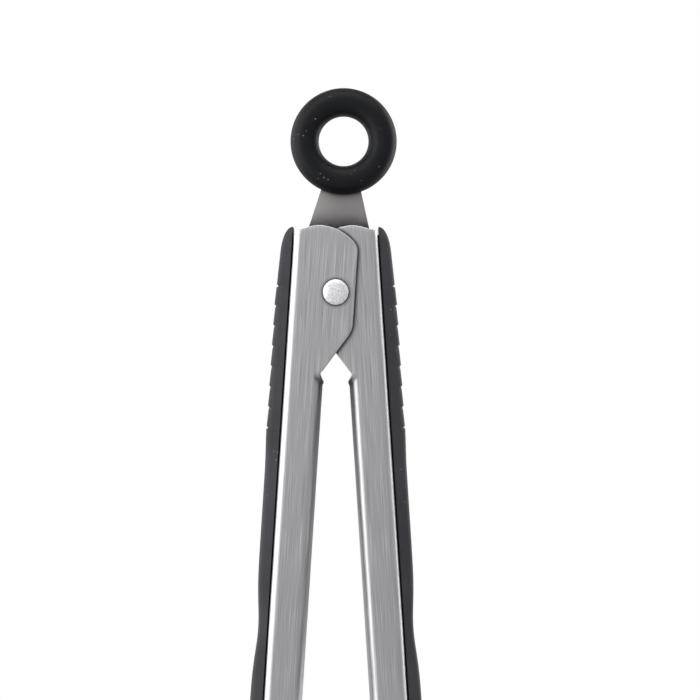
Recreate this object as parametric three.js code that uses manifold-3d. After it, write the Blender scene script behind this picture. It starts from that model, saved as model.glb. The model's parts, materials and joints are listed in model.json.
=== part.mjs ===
// Spring loaded kitchen tongs with a slide-out lock tab and a hanging ring.
// Millimetres, +Z up towards the ring, X is the way the arms open, -Y is the front.
// The origin is the centre of the pivot rivet. Each arm is drawn closed, with its web upright on
// the -X side, and a turned group then opens it; the second arm is the first one mirrored.
import * as THREE from 'three';
import Module from 'manifold-3d';
import * as BufferGeometryUtils from 'three/addons/utils/BufferGeometryUtils.js';

const wasm = await Module();
wasm.setup();

// ---------------------------------------------------------------- driving dimensions
const clearance = 0.3;          // gap between pieces that touch or run on each other
const openAngle = 3.7;          // degrees that each arm stands open at rest
const tabLean = 2.9;            // degrees that the tab leans towards +X at rest

// arms
const sheet = 1.0;              // thickness of the steel
const bendRadius = 2.0;         // outside radius of every bend
const webOffset = 12.15;        // outside of the web to the pivot, closed
const lipGap = 2.05;            // outside of the lips to the mid plane, closed
const outerDepth = 21.0;        // depth of the outer arm's channel at the ears
const lipDepth = 3.6;           // how far the rolled lips turn in
const lipFold = 74;             // degrees the lips are rolled round
const lipTop = -22.9;           // height where the rolled lips start
const lipRamp = 2.4;            // length over which the lips come round below the notch
const lipStartFold = 12;        // degrees they are rolled where they start
const lipStartReach = 0.74;     // share of the slanted part that stands out there
const foldRow = 2;              // rows of an arm's grid above the lips
const evenLength = 20;          // the channel keeps its depth this far below the lips' start
const gripLength = 157;         // length of the soft grip
const gripTop = 16.8;           // height of its upper end
const neckZ = -176;             // height where the channel turns into the head
const neckDepth = 15;           // depth of the channel there
const neckLead = 10;            // the channel starts to open into the head this far over the neck
const neckBlend = 34;           // length of that change
const headLength = 72;          // length of the head, below the neck
const headHalfWidth = 19;       // half the width of the scoop
const headFlatten = 0.72;       // share of its depth that the scoop loses towards the tip
const tipGap = 0.9;             // from the mid plane to the rims, closed
const scallops = 5;             // scallops down each side of the scoop
const scallopDepth = 1.3;
const scallopStart = 0.2;       // share of the head's length where the scallops begin
const scoopWidest = 0.55;       // share of the head's length where the scoop is widest
const scoopFlare = 1.4;         // power of the flare from the neck to the widest place
const scoopTipSpan = 0.47;      // share of the length over which the tip closes
const scoopTipRound = 2.2;      // power of the rounding of the tip
const scoopBackRound = 0.75;    // power that squares the back of the scoop
const scoopSideRound = 1.1;     // power that eases its sides

// ears
const earReach = 5.1;           // side edge of an ear past the pivot
const earTop = 17.5;            // highest point of an ear
const earCornerZ = 15.6;        // where the ear meets the top of the web
const earShoulderZ = 11.7;      // where the rounded top meets the side edge
const earSideEndZ = -8.5;       // lower end of the side edge
const earSlopeStart = [3.3, -12.7];
const notchTop = -21.8;         // upper end of the relief notch above the lips
const notchIn = 0.9;            // how far the notch cuts in from the lip line
const notchFoot = 0.5;          // the notch goes this far below the lips' start
const notchRound = 0.4;         // radius at its upper end
const earCrownX = -5.2;         // where the top is highest
const earCornerFall = 0.9;      // how far the top has come down near the web
const earCornerIn = 3.4;        // and how far from the web that is
const noseHeight = 2.4;         // height of the stop nose on the inner ears
const noseZ = 8.0;              // its middle
const noseRoot = 1.5;           // length of the slope below it
const noseRound = 0.8;          // its chamfer

// pivot
const rivetRadius = 2.0;
const rivetHeadRadius = 3.4;
const rivetHeadHeight = 1.2;
const sleeveWall = 0.9;
const bushWall = 0.9;
const bushFlangeRadius = 5.6;
const bushFlange = 0.8;
const springWire = 1.2;
const springTurns = 3;          // whole turns in each coil
const springLegZ = -13;         // height where the spring bears on the webs
const springBend = 1.6;         // radius of the bends in the bridge
const springPlay = 0.1;         // more room round the coils and at the legs
const rivetRim = 0.35;          // straight edge of a rivet head

// lock tab
const tabThickness = 1.5;
const tabTravel = 9;
const tabPlay = 2.45;           // room between the tab and each web, lean and swing included
const tabShoulderZ = 15.6;      // where the neck starts to narrow
const neckHalfWidth = 5.1;      // half width of the neck inside the ring
const neckJoinZ = 28.8;         // height of that width
const tabEndZ = -15.6;
const tabEndHalfWidth = 5.6;
const tabTaperZ = -6;           // where the tab starts to narrow downwards
const tabEndRound = 2.5;        // corners of its lower end
const slotEndWall = 0.1;        // play left at the upper end of the slot

// hanging ring
const ringCentreZ = 40.9;
const ringHole = 6.7;           // radius of the hole
const ringOuter = 14.35;        // outside radius
const ringThickness = 9.0;
const eyeInner = 8.3;           // the steel eye inside the rubber
const eyeOuter = 12.4;
const ringSquare = 0.85;        // power that squares the ring's section a little

// grips
const coreThickness = 0.8;      // plate of the core and the gap under it
const coreInset = 1.3;          // the core's edge stands back from the skin's
const skinGap = 0.45;           // from the steel to the edge of the skin
const gripThickness = 3.8;      // from the steel, at the plain part
const gripTopThin = 0.45;       // how much thinner the upper end is
const gripRound = 7;            // length of the rounded ends, seen from the side
const gripMargin = 1.6;         // web edge to the side of the grip
const ribCount = 8;
const ribTopZ = 0.8;            // first groove, measured down the web
const ribPitch = 5.45;
const ribGroove = 0.7;
const ribDepth = 0.7;           // depth of a groove at the crown
const ribRise = 0.35;
const waistZ = -91;             // middle of the waist
const waistDepth = 0.95;
const waistLength = 18;
const gripCrown = 1.0;          // how far the sides of the skin fall away
const gripEndNarrow = 0.7;      // share of its width left at the ends
const gripEndLength = 5;        // length over which the ends narrow
const skinEdge = 0.25;          // least thickness of the skin
const studRadius = 2.0;
const studHeadRadius = 3.4;
const studHeadHeight = 1.2;
const studDrops = [22, 78, 134];

// ---------------------------------------------------------------- worked-out sizes
const deg = Math.PI / 180;
const lipLine = -lipGap;
const headCup = webOffset - tipGap;                 // depth of the scoop, rim to back
const tabHalfWidth = webOffset - sheet - tabPlay;
const innerDepth = outerDepth - 2 * (sheet + clearance);
const sleeveInner = rivetRadius + clearance;
const sleeveOuter = sleeveInner + sleeveWall;
const sleeveLength = innerDepth - 2 * (sheet + clearance);
const bushInner = sleeveOuter + clearance;
const bushOuter = bushInner + bushWall;
const bushStart = tabThickness / 2 + clearance;
const bushEnd = innerDepth / 2 - sheet - clearance;
const coilRadius = bushOuter + clearance + springWire / 2 + springPlay;
const coilStart = bushStart + bushFlange + clearance + springWire / 2;
const coilEnd = bushEnd - springWire / 2;
const slotHalfWidth = sleeveOuter + clearance;
const slotTop = slotHalfWidth + slotEndWall;
const slotBottom = slotTop - 2 * slotHalfWidth - tabTravel - slotEndWall;
const tipZ = neckZ - headLength;

// ---------------------------------------------------------------- finishes
const steel = (shade) => new THREE.MeshStandardMaterial({ color: shade, roughness: 0.35, metalness: 1 });
const plastic = (shade, rough) => new THREE.MeshStandardMaterial({ color: shade, roughness: rough, metalness: 0 });
const brushedSteel = steel(0xa8a8aa);
const blastedSteel = steel(0x8c8781);
const rivetSteel = steel(0xd8d8d6);
const springSteel = steel(0x9b9a98);
const ringRubber = plastic(0x0c0d10, 0.75);
const gripRubber = plastic(0x2a2a2d, 0.8);
const corePlastic = plastic(0x0a0a0b, 0.6);
const nylon = plastic(0xd9d6cc, 0.5);

// ---------------------------------------------------------------- solid helpers
function solid(geometry) {
  const bare = geometry.clone();
  bare.deleteAttribute('normal');
  bare.deleteAttribute('uv');
  const merged = BufferGeometryUtils.mergeVertices(bare, 1e-4);
  const mesh = new wasm.Mesh({
    numProp: 3,
    vertProperties: new Float32Array(merged.attributes.position.array),
    triVerts: new Uint32Array(merged.index.array),
  });
  return new wasm.Manifold(mesh);
}

function geometryOf(body) {
  const mesh = body.getMesh();
  const geometry = new THREE.BufferGeometry();
  geometry.setAttribute('position', new THREE.BufferAttribute(new Float32Array(mesh.vertProperties), 3));
  geometry.setIndex(new THREE.BufferAttribute(new Uint32Array(mesh.triVerts), 1));
  geometry.computeVertexNormals();
  return geometry;
}

// A prism of an outline in X and Z, from y = -depth/2 to depth/2.
function prismXZ(shape, depth, curveSegments = 6) {
  const geometry = new THREE.ExtrudeGeometry(shape, { depth, bevelEnabled: false, curveSegments });
  geometry.translate(0, 0, -depth / 2);
  geometry.rotateX(Math.PI / 2);
  return geometry;
}

// A rod along Y between two heights of y.
function rodY(radius, yLow, yHigh, segments = 24) {
  const geometry = new THREE.CylinderGeometry(radius, radius, yHigh - yLow, segments);
  geometry.translate(0, (yHigh + yLow) / 2, 0);
  return geometry;
}

// A rod along X between two places of x.
function rodX(radius, xLow, xHigh, z, segments = 16) {
  const geometry = new THREE.CylinderGeometry(radius, radius, xHigh - xLow, segments);
  geometry.rotateZ(Math.PI / 2);
  geometry.translate((xHigh + xLow) / 2, 0, z);
  return geometry;
}

const clamp01 = (t) => Math.min(1, Math.max(0, t));
const smooth = (t) => clamp01(t) ** 2 * (3 - 2 * clamp01(t));
const mix = (a, b, t) => a + (b - a) * t;

// The steel sheet: grid[j][i] are points on its outside; the inside lies along -normal.
// The fold changes at once above the fold row, so slopes are not taken across it.
function thickSheet(grid) {
  const rows = grid.length;
  const columns = grid[0].length;
  const across = new THREE.Vector3();
  const along = new THREE.Vector3();
  const positions = [];
  for (const row of grid) {
    for (const point of row) positions.push(point.x, point.y, point.z);
  }
  for (let j = 0; j < rows; j += 1) {
    const above = j === foldRow ? j : Math.max(j - 1, 0);
    const below = j === foldRow - 1 ? j : Math.min(j + 1, rows - 1);
    for (let i = 0; i < columns; i += 1) {
      across.subVectors(grid[j][Math.min(i + 1, columns - 1)], grid[j][Math.max(i - 1, 0)]).normalize();
      along.subVectors(grid[below][i], grid[above][i]).normalize();
      const normal = new THREE.Vector3().crossVectors(across, along).normalize();
      const inside = grid[j][i].clone().addScaledVector(normal, -sheet);
      positions.push(inside.x, inside.y, inside.z);
    }
  }
  const outside = (j, i) => j * columns + i;
  const inside = (j, i) => rows * columns + j * columns + i;
  const index = [];
  const quad = (a, b, c, d) => index.push(a, b, c, a, c, d);
  for (let j = 0; j + 1 < rows; j += 1) {
    for (let i = 0; i + 1 < columns; i += 1) {
      quad(outside(j, i), outside(j, i + 1), outside(j + 1, i + 1), outside(j + 1, i));
      quad(inside(j, i), inside(j + 1, i), inside(j + 1, i + 1), inside(j, i + 1));
    }
    quad(outside(j, 0), outside(j + 1, 0), inside(j + 1, 0), inside(j, 0));
    const last = columns - 1;
    quad(outside(j + 1, last), outside(j, last), inside(j, last), inside(j + 1, last));
  }
  for (let i = 0; i + 1 < columns; i += 1) {
    quad(outside(0, i + 1), outside(0, i), inside(0, i), inside(0, i + 1));
    const end = rows - 1;
    quad(outside(end, i), outside(end, i + 1), inside(end, i + 1), inside(end, i));
  }
  const geometry = new THREE.BufferGeometry();
  geometry.setAttribute('position', new THREE.Float32BufferAttribute(positions, 3));
  geometry.setIndex(index);
  return geometry;
}

// ---------------------------------------------------------------- the arm
// Depth of the channel at a height: even down to the lips, then narrowing to the neck.
function channelDepth(topDepth, z) {
  return mix(topDepth, neckDepth, smooth((lipTop - evenLength - z) / (lipTop - evenLength - neckZ)));
}

// Half of the folded section outside, from the middle of the web round to the edge of the lip.
// Above the lips the flange runs straight on as an ear, to be cut to its outline.
function channelSection(topDepth, z) {
  const half = channelDepth(topDepth, z) / 2;
  const turn = smooth((lipTop - z) / lipRamp);
  const points = [];
  const steps = 3;
  for (const share of [0, 0.5]) points.push([-webOffset, share * (half - bendRadius)]);
  for (let k = 0; k <= steps; k += 1) {
    const a = (k / steps) * 90 * deg;
    points.push([-webOffset + bendRadius * (1 - Math.cos(a)), half - bendRadius * (1 - Math.sin(a))]);
  }
  const fall = lipDepth - bendRadius * (1 - Math.cos(lipFold * deg));
  const foldX = lipLine - fall / Math.tan(lipFold * deg) - bendRadius * Math.sin(lipFold * deg);
  points.push([mix(-webOffset + bendRadius, foldX, 0.5), half]);
  if (z > lipTop) {
    for (let k = 0; k <= steps + 1; k += 1) points.push([mix(foldX, webOffset, k / (steps + 1)), half]);
    return points;
  }
  const full = mix(lipStartFold, lipFold, turn) * deg;
  for (let k = 0; k <= steps; k += 1) {
    const a = (k / steps) * full;
    points.push([foldX + bendRadius * Math.sin(a), half - bendRadius * (1 - Math.cos(a))]);
  }
  const [edgeX, edgeY] = points[points.length - 1];
  const lip = fall / Math.sin(lipFold * deg);
  points.push([edgeX + lip * Math.cos(full) * mix(lipStartReach, 1, turn), edgeY - lip * Math.sin(full)]);
  return points;
}

// The same number of points over half of the scoop's section at a share of the head's length.
function scoopSection(share, count) {
  const grow = Math.sin(Math.min(1, share / scoopWidest) * 90 * deg);
  const past = Math.max(0, share - scoopWidest) / scoopTipSpan;
  const close = Math.sqrt(Math.max(0, 1 - past ** scoopTipRound));
  const wave = Math.abs(Math.sin(clamp01((share - scallopStart) / (1 - scallopStart)) * scallops * Math.PI));
  const edge = smooth((share - 0.12) / 0.1);
  const half = mix(neckDepth / 2, headHalfWidth, grow ** scoopFlare) * close
    - edge * scallopDepth * (1 - wave) * (share < 0.9 ? 1 : 0.3);
  const cup = headCup * (1 - headFlatten * smooth((share - 0.45) / 0.6));
  const points = [];
  for (let k = 0; k < count; k += 1) {
    const t = k / (count - 1);
    const angle = t * 90 * deg;
    const x = -tipGap - cup * Math.cos(angle) ** scoopBackRound;
    points.push([x, half * Math.sin(angle) ** scoopSideRound]);
  }
  return points;
}

// Rows of points over the outside of an arm, from above the ears down to the tip of the scoop.
function armGrid(topDepth) {
  const heights = [earTop + 2, notchTop - 0.4];
  for (const share of [0, 0.3, 0.6, 1]) heights.push(lipTop - share * lipRamp);
  for (const share of [0.12, 0.4, 0.7, 0.94]) heights.push(mix(lipTop, neckZ + neckLead, share));
  const headRows = 21;
  for (let k = 0; k <= headRows; k += 1) heights.push(mix(neckZ + neckLead, tipZ, k / headRows));
  return heights.map((z) => {
    const channel = channelSection(topDepth, z);
    const share = clamp01((neckZ - z) / headLength);
    const scoop = scoopSection(share, channel.length);
    const blend = smooth((neckZ + neckLead - z) / neckBlend);
    const half = channel.map(([x, y], i) => [mix(x, scoop[i][0], blend), mix(y, scoop[i][1], blend)]);
    const front = half.slice(1).reverse().map(([x, y]) => new THREE.Vector3(x, -y, z));
    const back = half.map(([x, y]) => new THREE.Vector3(x, y, z));
    return front.concat(back);
  });
}

// The open stop is a nose on the inner arm's ears that meets the other arm's web at rest.
// This is how far it reaches past the pivot at a height.
function noseReach(z) {
  const spread = 2 * openAngle * deg;
  const bendRoom = 0.45 * (bendRadius - sheet);
  return (webOffset - sheet - clearance - bendRoom - z * Math.sin(spread)) / Math.cos(spread);
}

// The side view that an arm is cut to: ears above the notch, anything goes below it.
function armOutline(withStop) {
  const margin = 5;
  const shape = new THREE.Shape();
  shape.moveTo(-webOffset - margin, tipZ - margin);
  shape.lineTo(margin, tipZ - margin);
  shape.lineTo(margin, lipTop - notchFoot);
  shape.lineTo(lipLine - notchIn, lipTop - notchFoot);
  shape.lineTo(lipLine - notchIn, notchTop - notchRound);
  shape.quadraticCurveTo(lipLine - notchIn, notchTop, lipLine - notchIn + notchRound, notchTop);
  shape.lineTo(earSlopeStart[0], earSlopeStart[1]);
  shape.quadraticCurveTo(earReach, earSideEndZ - 2, earReach, earSideEndZ);
  if (withStop) {
    const low = noseZ - noseHeight / 2;
    const high = noseZ + noseHeight / 2;
    shape.lineTo(earReach, low - noseRoot);
    shape.lineTo(noseReach(high) - noseRound, low);
    shape.lineTo(noseReach(high), low + noseRound);
    shape.lineTo(noseReach(high), high);
    shape.lineTo(earReach, high);
  }
  shape.lineTo(earReach, earShoulderZ - 0.6);
  shape.quadraticCurveTo(earReach, earShoulderZ + 0.6, earReach - 0.7, earShoulderZ + 1.6);
  shape.bezierCurveTo(earReach - 3.2, earTop - 1.7, -1.6, earTop, earCrownX, earTop);
  const fall = earTop - earCornerFall;
  shape.bezierCurveTo(earCrownX - 2, earTop, earCornerIn - webOffset, fall, -webOffset, earCornerZ);
  shape.lineTo(-webOffset - margin, earCornerZ);
  return shape;
}

function arm(depth, withStop) {
  const outline = prismXZ(armOutline(withStop), 2 * headHalfWidth + depth);
  let body = solid(thickSheet(armGrid(depth))).intersect(solid(outline));
  body = body.subtract(solid(rodY(rivetRadius + clearance, -depth, depth)));
  for (const drop of studDrops) {
    const hole = rodX(studRadius + clearance, -webOffset - 2, -webOffset + 3, gripTop - drop);
    body = body.subtract(solid(hole));
  }
  return geometryOf(body);
}

// ---------------------------------------------------------------- the grips
// Height of the grip over the web at a distance below its top, ribs and waist included.
function gripHeight(drop) {
  const left = Math.min(drop, gripLength - drop, gripRound);
  const round = Math.sqrt(Math.max(0, 1 - ((gripRound - left) / gripRound) ** 2));
  const waist = waistDepth * Math.exp(-(((gripTop - drop - waistZ) / (waistLength / 2)) ** 2));
  const thin = gripTopThin * (1 - smooth((drop - 4) / 14));
  const ribZone = ribRise * smooth((drop - 14) / 10) * (1 - smooth((drop - 52) / 14));
  const least = skinGap + coreThickness;
  return least + (gripThickness - least - thin + ribZone - waist) * round;
}

function gripHalfWidth(depth, drop) {
  const z = gripTop - drop;
  const half = channelDepth(depth, z) / 2 - gripMargin;
  const left = Math.min(drop, gripLength - drop);
  const over = Math.max(0, gripEndLength - left) / gripEndLength;
  return half * mix(gripEndNarrow, 1, Math.sqrt(1 - over ** 2));
}

// Crowned soft skin with grooves across it, lying on the core.
function gripSkin(depth) {
  const drops = [];
  for (const d of [0, 0.6, 1.6, 3.2, 5.5, 8]) drops.push(d);
  for (let d = 11; d < gripLength - 8; d += 6) drops.push(d);
  for (const d of [8, 5.5, 3.2, 1.6, 0.6, 0]) drops.push(gripLength - d);
  const around = 10;            // points over the crown of a section
  const ring = around + 2;      // and all round it, with the two at the edges below
  const positions = [];
  for (const drop of drops) {
    const z = gripTop - drop;
    const half = gripHalfWidth(depth, drop);
    const tall = gripHeight(drop);
    positions.push(-webOffset - skinGap, half, z);
    positions.push(-webOffset - skinGap, -half, z);
    for (let k = 0; k < around; k += 1) {
      const t = (k + 0.5) / around;
      const angle = -90 * deg + t * 180 * deg;
      const y = half * Math.sin(angle);
      const fall = gripCrown * Math.abs(Math.sin(angle)) ** 3;
      positions.push(-webOffset - Math.max(skinGap + skinEdge, tall - fall), y, z);
    }
  }
  const index = [];
  const rows = drops.length;
  for (let j = 0; j + 1 < rows; j += 1) {
    for (let i = 0; i < ring; i += 1) {
      const next = (i + 1) % ring;
      const a = j * ring + i;
      const b = j * ring + next;
      index.push(a, b, b + ring, a, b + ring, a + ring);
    }
  }
  for (let i = 1; i + 1 < ring; i += 1) {
    index.push(0, i + 1, i);
    const end = (rows - 1) * ring;
    index.push(end, end + i, end + i + 1);
  }
  const geometry = new THREE.BufferGeometry();
  geometry.setAttribute('position', new THREE.Float32BufferAttribute(positions, 3));
  geometry.setIndex(index);
  const pocket = coreFootprint(depth, clearance, coreThickness + clearance + 1);
  pocket.translate(-webOffset + 1, 0, 0);
  let body = solid(geometry).subtract(solid(pocket));
  for (let k = 0; k < ribCount; k += 1) {
    const drop = gripTop - ribTopZ + k * ribPitch;
    const groove = new THREE.BoxGeometry(4, outerDepth + 4, ribGroove);
    groove.translate(-webOffset - gripHeight(drop) - 2 + ribDepth, 0, gripTop - drop);
    body = body.subtract(solid(groove));
  }
  return geometryOf(body);
}

// The plan of the core, grown by an amount all round, as a plate of a thickness outside x = 0.
function coreFootprint(depth, grow, thickness) {
  const end = coreInset + 0.4 - grow;
  const top = gripTop - end;
  const low = gripTop - gripLength + end;
  const shape = new THREE.Shape();
  const steps = 8;
  const rim = (z) => gripHalfWidth(depth, Math.max(0, gripTop - z)) - coreInset + grow;
  shape.moveTo(top, rim(top));
  for (let k = 1; k <= steps; k += 1) {
    const z = mix(top, low, k / steps);
    shape.lineTo(z, rim(z));
  }
  for (let k = steps; k >= 0; k -= 1) {
    const z = mix(top, low, k / steps);
    shape.lineTo(z, -rim(z));
  }
  const plate = new THREE.ExtrudeGeometry(shape, { depth: thickness, bevelEnabled: false });
  plate.rotateY(-90 * deg);
  return plate;
}

// Hard strip between steel and skin, with studs headed over inside the channel.
function gripCore(depth) {
  const plate = coreFootprint(depth, 0, coreThickness - clearance);
  plate.translate(-webOffset - clearance, 0, 0);
  let body = solid(plate);
  const face = -webOffset - clearance - 0.2;
  for (const drop of studDrops) {
    const z = gripTop - drop;
    const inside = -webOffset + sheet + clearance;
    body = body.add(solid(rodX(studRadius, face, inside + studHeadHeight, z)));
    body = body.add(solid(rodX(studHeadRadius, inside, inside + studHeadHeight, z)));
  }
  return geometryOf(body);
}

// ---------------------------------------------------------------- the pivot
function rivet() {
  const grip = outerDepth / 2 + clearance;
  const points = [new THREE.Vector2(0, -grip - rivetHeadHeight)];
  const dome = (t) => rivetHeadRadius * Math.sin(t * 90 * deg);
  const rise = (t) => (rivetHeadHeight - rivetRim) * Math.cos(t * 90 * deg);
  const steps = 6;
  for (let k = 1; k <= steps; k += 1) {
    points.push(new THREE.Vector2(dome(k / steps), -grip - rivetRim - rise(k / steps)));
  }
  points.push(new THREE.Vector2(rivetHeadRadius, -grip));
  points.push(new THREE.Vector2(rivetRadius, -grip));
  points.push(new THREE.Vector2(rivetRadius, grip));
  points.push(new THREE.Vector2(rivetHeadRadius, grip));
  for (let k = steps; k >= 1; k -= 1) {
    points.push(new THREE.Vector2(dome(k / steps), grip + rivetRim + rise(k / steps)));
  }
  points.push(new THREE.Vector2(0, grip + rivetHeadHeight));
  return new THREE.LatheGeometry(points, 24);
}

// A closed ring-shaped profile turned about Y: pairs of radius and y.
function turned(profile, segments = 24) {
  const points = profile.map(([r, y]) => new THREE.Vector2(r, y));
  points.push(points[0].clone());
  return new THREE.LatheGeometry(points, segments);
}

function sleeve() {
  const half = sleeveLength / 2;
  return turned([[sleeveInner, -half], [sleeveOuter, -half], [sleeveOuter, half], [sleeveInner, half]]);
}

function springBush() {
  const wide = bushStart + bushFlange;
  return turned([[bushInner, bushStart], [bushFlangeRadius, bushStart], [bushFlangeRadius, wide],
    [bushOuter, wide], [bushOuter, bushEnd], [bushInner, bushEnd]]);
}

// One wire: bridge on the outer arm's web, a coil each side, and a free leg on the inner arm's web.
function torsionSpring() {
  const tilt = openAngle * deg;
  const bear = webOffset - sheet - clearance - springWire / 2 - springPlay;
  const legX = bear * Math.cos(tilt) - springLegZ * Math.sin(tilt);
  const reach = Math.hypot(legX, springLegZ);
  const lean = Math.atan2(springLegZ, legX);
  const touch = lean + Math.acos(coilRadius / reach);
  const total = springTurns * 360 * deg + (180 * deg - 2 * touch);
  const half = [new THREE.Vector3(-legX, 0, springLegZ)];
  half.push(new THREE.Vector3(-legX, coilStart - springBend, springLegZ));
  half.push(new THREE.Vector3(-legX + 0.3, coilStart - 0.25 * springBend, springLegZ + 0.6));
  const from = new THREE.Vector3(-coilRadius * Math.cos(touch), coilStart, coilRadius * Math.sin(touch));
  const corner = new THREE.Vector3(-legX, coilStart, springLegZ);
  for (const share of [0.18, 0.5, 0.82]) half.push(corner.clone().lerp(from, share));
  const perTurn = 12;
  const steps = Math.round((total / (360 * deg)) * perTurn);
  for (let k = 0; k <= steps; k += 1) {
    const t = k / steps;
    const angle = Math.PI - touch - t * total;
    const y = mix(coilStart, coilEnd, t);
    half.push(new THREE.Vector3(coilRadius * Math.cos(angle), y, coilRadius * Math.sin(angle)));
  }
  const to = new THREE.Vector3(coilRadius * Math.cos(touch), coilEnd, coilRadius * Math.sin(touch));
  const end = new THREE.Vector3(legX, coilEnd, springLegZ);
  for (const share of [0.3, 0.65, 1]) half.push(to.clone().lerp(end, share));
  const mirrored = half.slice(1).reverse().map((p) => new THREE.Vector3(p.x, -p.y, p.z));
  const path = new THREE.CatmullRomCurve3(mirrored.concat(half), false, 'centripetal');
  const section = new THREE.Shape();
  section.absarc(0, 0, springWire / 2, 0, 2 * Math.PI, false);
  return new THREE.ExtrudeGeometry(section, {
    steps: 2 * steps + 56, extrudePath: path, curveSegments: 3, bevelEnabled: false,
  });
}

// ---------------------------------------------------------------- the tab and its ring
function lockTab() {
  const shape = new THREE.Shape();
  const round = tabEndRound;
  shape.moveTo(-tabEndHalfWidth + round, tabEndZ);
  shape.lineTo(tabEndHalfWidth - round, tabEndZ);
  shape.quadraticCurveTo(tabEndHalfWidth, tabEndZ, tabEndHalfWidth + 0.5, tabEndZ + round);
  shape.lineTo(tabHalfWidth, tabTaperZ);
  shape.lineTo(tabHalfWidth, tabShoulderZ);
  shape.lineTo(neckHalfWidth, neckJoinZ);
  shape.lineTo(neckHalfWidth, ringCentreZ - eyeInner - 1);
  shape.lineTo(-neckHalfWidth, ringCentreZ - eyeInner - 1);
  shape.lineTo(-neckHalfWidth, neckJoinZ);
  shape.lineTo(-tabHalfWidth, tabShoulderZ);
  shape.lineTo(-tabHalfWidth, tabTaperZ);
  shape.lineTo(-tabEndHalfWidth - 0.5, tabEndZ + round);
  shape.quadraticCurveTo(-tabEndHalfWidth, tabEndZ, -tabEndHalfWidth + round, tabEndZ);
  let body = solid(prismXZ(shape, tabThickness));
  const eye = new THREE.Shape();
  eye.absarc(0, ringCentreZ, eyeOuter, 0, 2 * Math.PI, false);
  body = body.add(solid(prismXZ(eye, tabThickness, 20)));
  const hole = new THREE.Shape();
  hole.absarc(0, ringCentreZ, eyeInner, 0, 2 * Math.PI, false);
  body = body.subtract(solid(prismXZ(hole, tabThickness + 2, 20)));
  const slot = new THREE.Shape();
  slot.absarc(0, slotTop - slotHalfWidth, slotHalfWidth, 0, Math.PI, false);
  slot.absarc(0, slotBottom + slotHalfWidth, slotHalfWidth, Math.PI, 2 * Math.PI, false);
  return geometryOf(body.subtract(solid(prismXZ(slot, tabThickness + 2, 12))));
}

function hangingRing() {
  const middle = (ringHole + ringOuter) / 2;
  const radial = (ringOuter - ringHole) / 2;
  const profile = [];
  const steps = 16;
  for (let k = 0; k < steps; k += 1) {
    const a = (k / steps) * 360 * deg;
    const c = Math.cos(a);
    const s = Math.sin(a);
    profile.push([middle + radial * Math.sign(c) * Math.abs(c) ** ringSquare,
      (ringThickness / 2) * Math.sign(s) * Math.abs(s) ** ringSquare]);
  }
  const ring = turned(profile, 40);
  ring.translate(0, 0, ringCentreZ);
  let body = solid(ring);
  const pocketHalf = tabThickness / 2 + clearance;
  const pocket = turned([[eyeInner - clearance, -pocketHalf], [eyeOuter + clearance, -pocketHalf],
    [eyeOuter + clearance, pocketHalf], [eyeInner - clearance, pocketHalf]], 40);
  pocket.translate(0, 0, ringCentreZ);
  body = body.subtract(solid(pocket));
  const slope = (tabHalfWidth - neckHalfWidth) / (neckJoinZ - tabShoulderZ);
  const wide = neckHalfWidth + clearance + 0.1;
  const mouth = ringCentreZ - ringOuter - 2;
  const neck = new THREE.Shape();
  neck.moveTo(-wide - (neckJoinZ - mouth) * slope, mouth);
  neck.lineTo(wide + (neckJoinZ - mouth) * slope, mouth);
  neck.lineTo(wide, neckJoinZ);
  neck.lineTo(wide, ringCentreZ - eyeInner - 0.5);
  neck.lineTo(-wide, ringCentreZ - eyeInner - 0.5);
  neck.lineTo(-wide, neckJoinZ);
  return geometryOf(body.subtract(solid(prismXZ(neck, 2 * pocketHalf))));
}

// ---------------------------------------------------------------- putting it together
const part = new THREE.Group();

function place(name, geometry, material, group) {
  const mesh = new THREE.Mesh(geometry, material);
  mesh.name = name;
  group.add(mesh);
}

// The same piece seen in a mirror on the plane x = 0, faces turned back outwards.
function mirroredX(geometry) {
  const copy = geometry.index ? geometry.toNonIndexed() : geometry.clone();
  const position = copy.attributes.position;
  for (let i = 0; i < position.count; i += 3) {
    const corners = [0, 2, 1].map((k) => new THREE.Vector3().fromBufferAttribute(position, i + k));
    corners.forEach((p, k) => position.setXYZ(i + k, -p.x, p.y, p.z));
  }
  return copy;
}

const outerGroup = new THREE.Group();
outerGroup.rotation.y = openAngle * deg;
place('outer_arm', arm(outerDepth, false), brushedSteel, outerGroup);
place('outer_grip_core', gripCore(outerDepth), corePlastic, outerGroup);
place('outer_grip_skin', gripSkin(outerDepth), gripRubber, outerGroup);
part.add(outerGroup);

const innerGroup = new THREE.Group();
innerGroup.rotation.y = -openAngle * deg;
place('inner_arm', mirroredX(arm(innerDepth, true)), brushedSteel, innerGroup);
place('inner_grip_core', mirroredX(gripCore(innerDepth)), corePlastic, innerGroup);
place('inner_grip_skin', mirroredX(gripSkin(innerDepth)), gripRubber, innerGroup);
part.add(innerGroup);

const tabGroup = new THREE.Group();
tabGroup.rotation.y = tabLean * deg;
place('lock_tab', lockTab(), blastedSteel, tabGroup);
place('hanging_ring', hangingRing(), ringRubber, tabGroup);
part.add(tabGroup);

place('pivot_rivet', rivet(), rivetSteel, part);
place('pivot_sleeve', sleeve(), springSteel, part);
const backBush = springBush();
const frontBush = springBush();
frontBush.rotateX(Math.PI);
place('front_spring_bush', frontBush, nylon, part);
place('back_spring_bush', backBush, nylon, part);
place('torsion_spring', torsionSpring(), springSteel, part);

export default part;
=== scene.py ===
"""Spring loaded kitchen tongs: the finished looks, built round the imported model.

Lengths in the settings are metres. Outlines are worked out in millimetres in each arm's own
upright frame (pivot at the origin, web on the -X side) and are turned into place in the mesh.
"""
import json
import math

import bmesh
import bpy
from mathutils import Matrix, Vector


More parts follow.
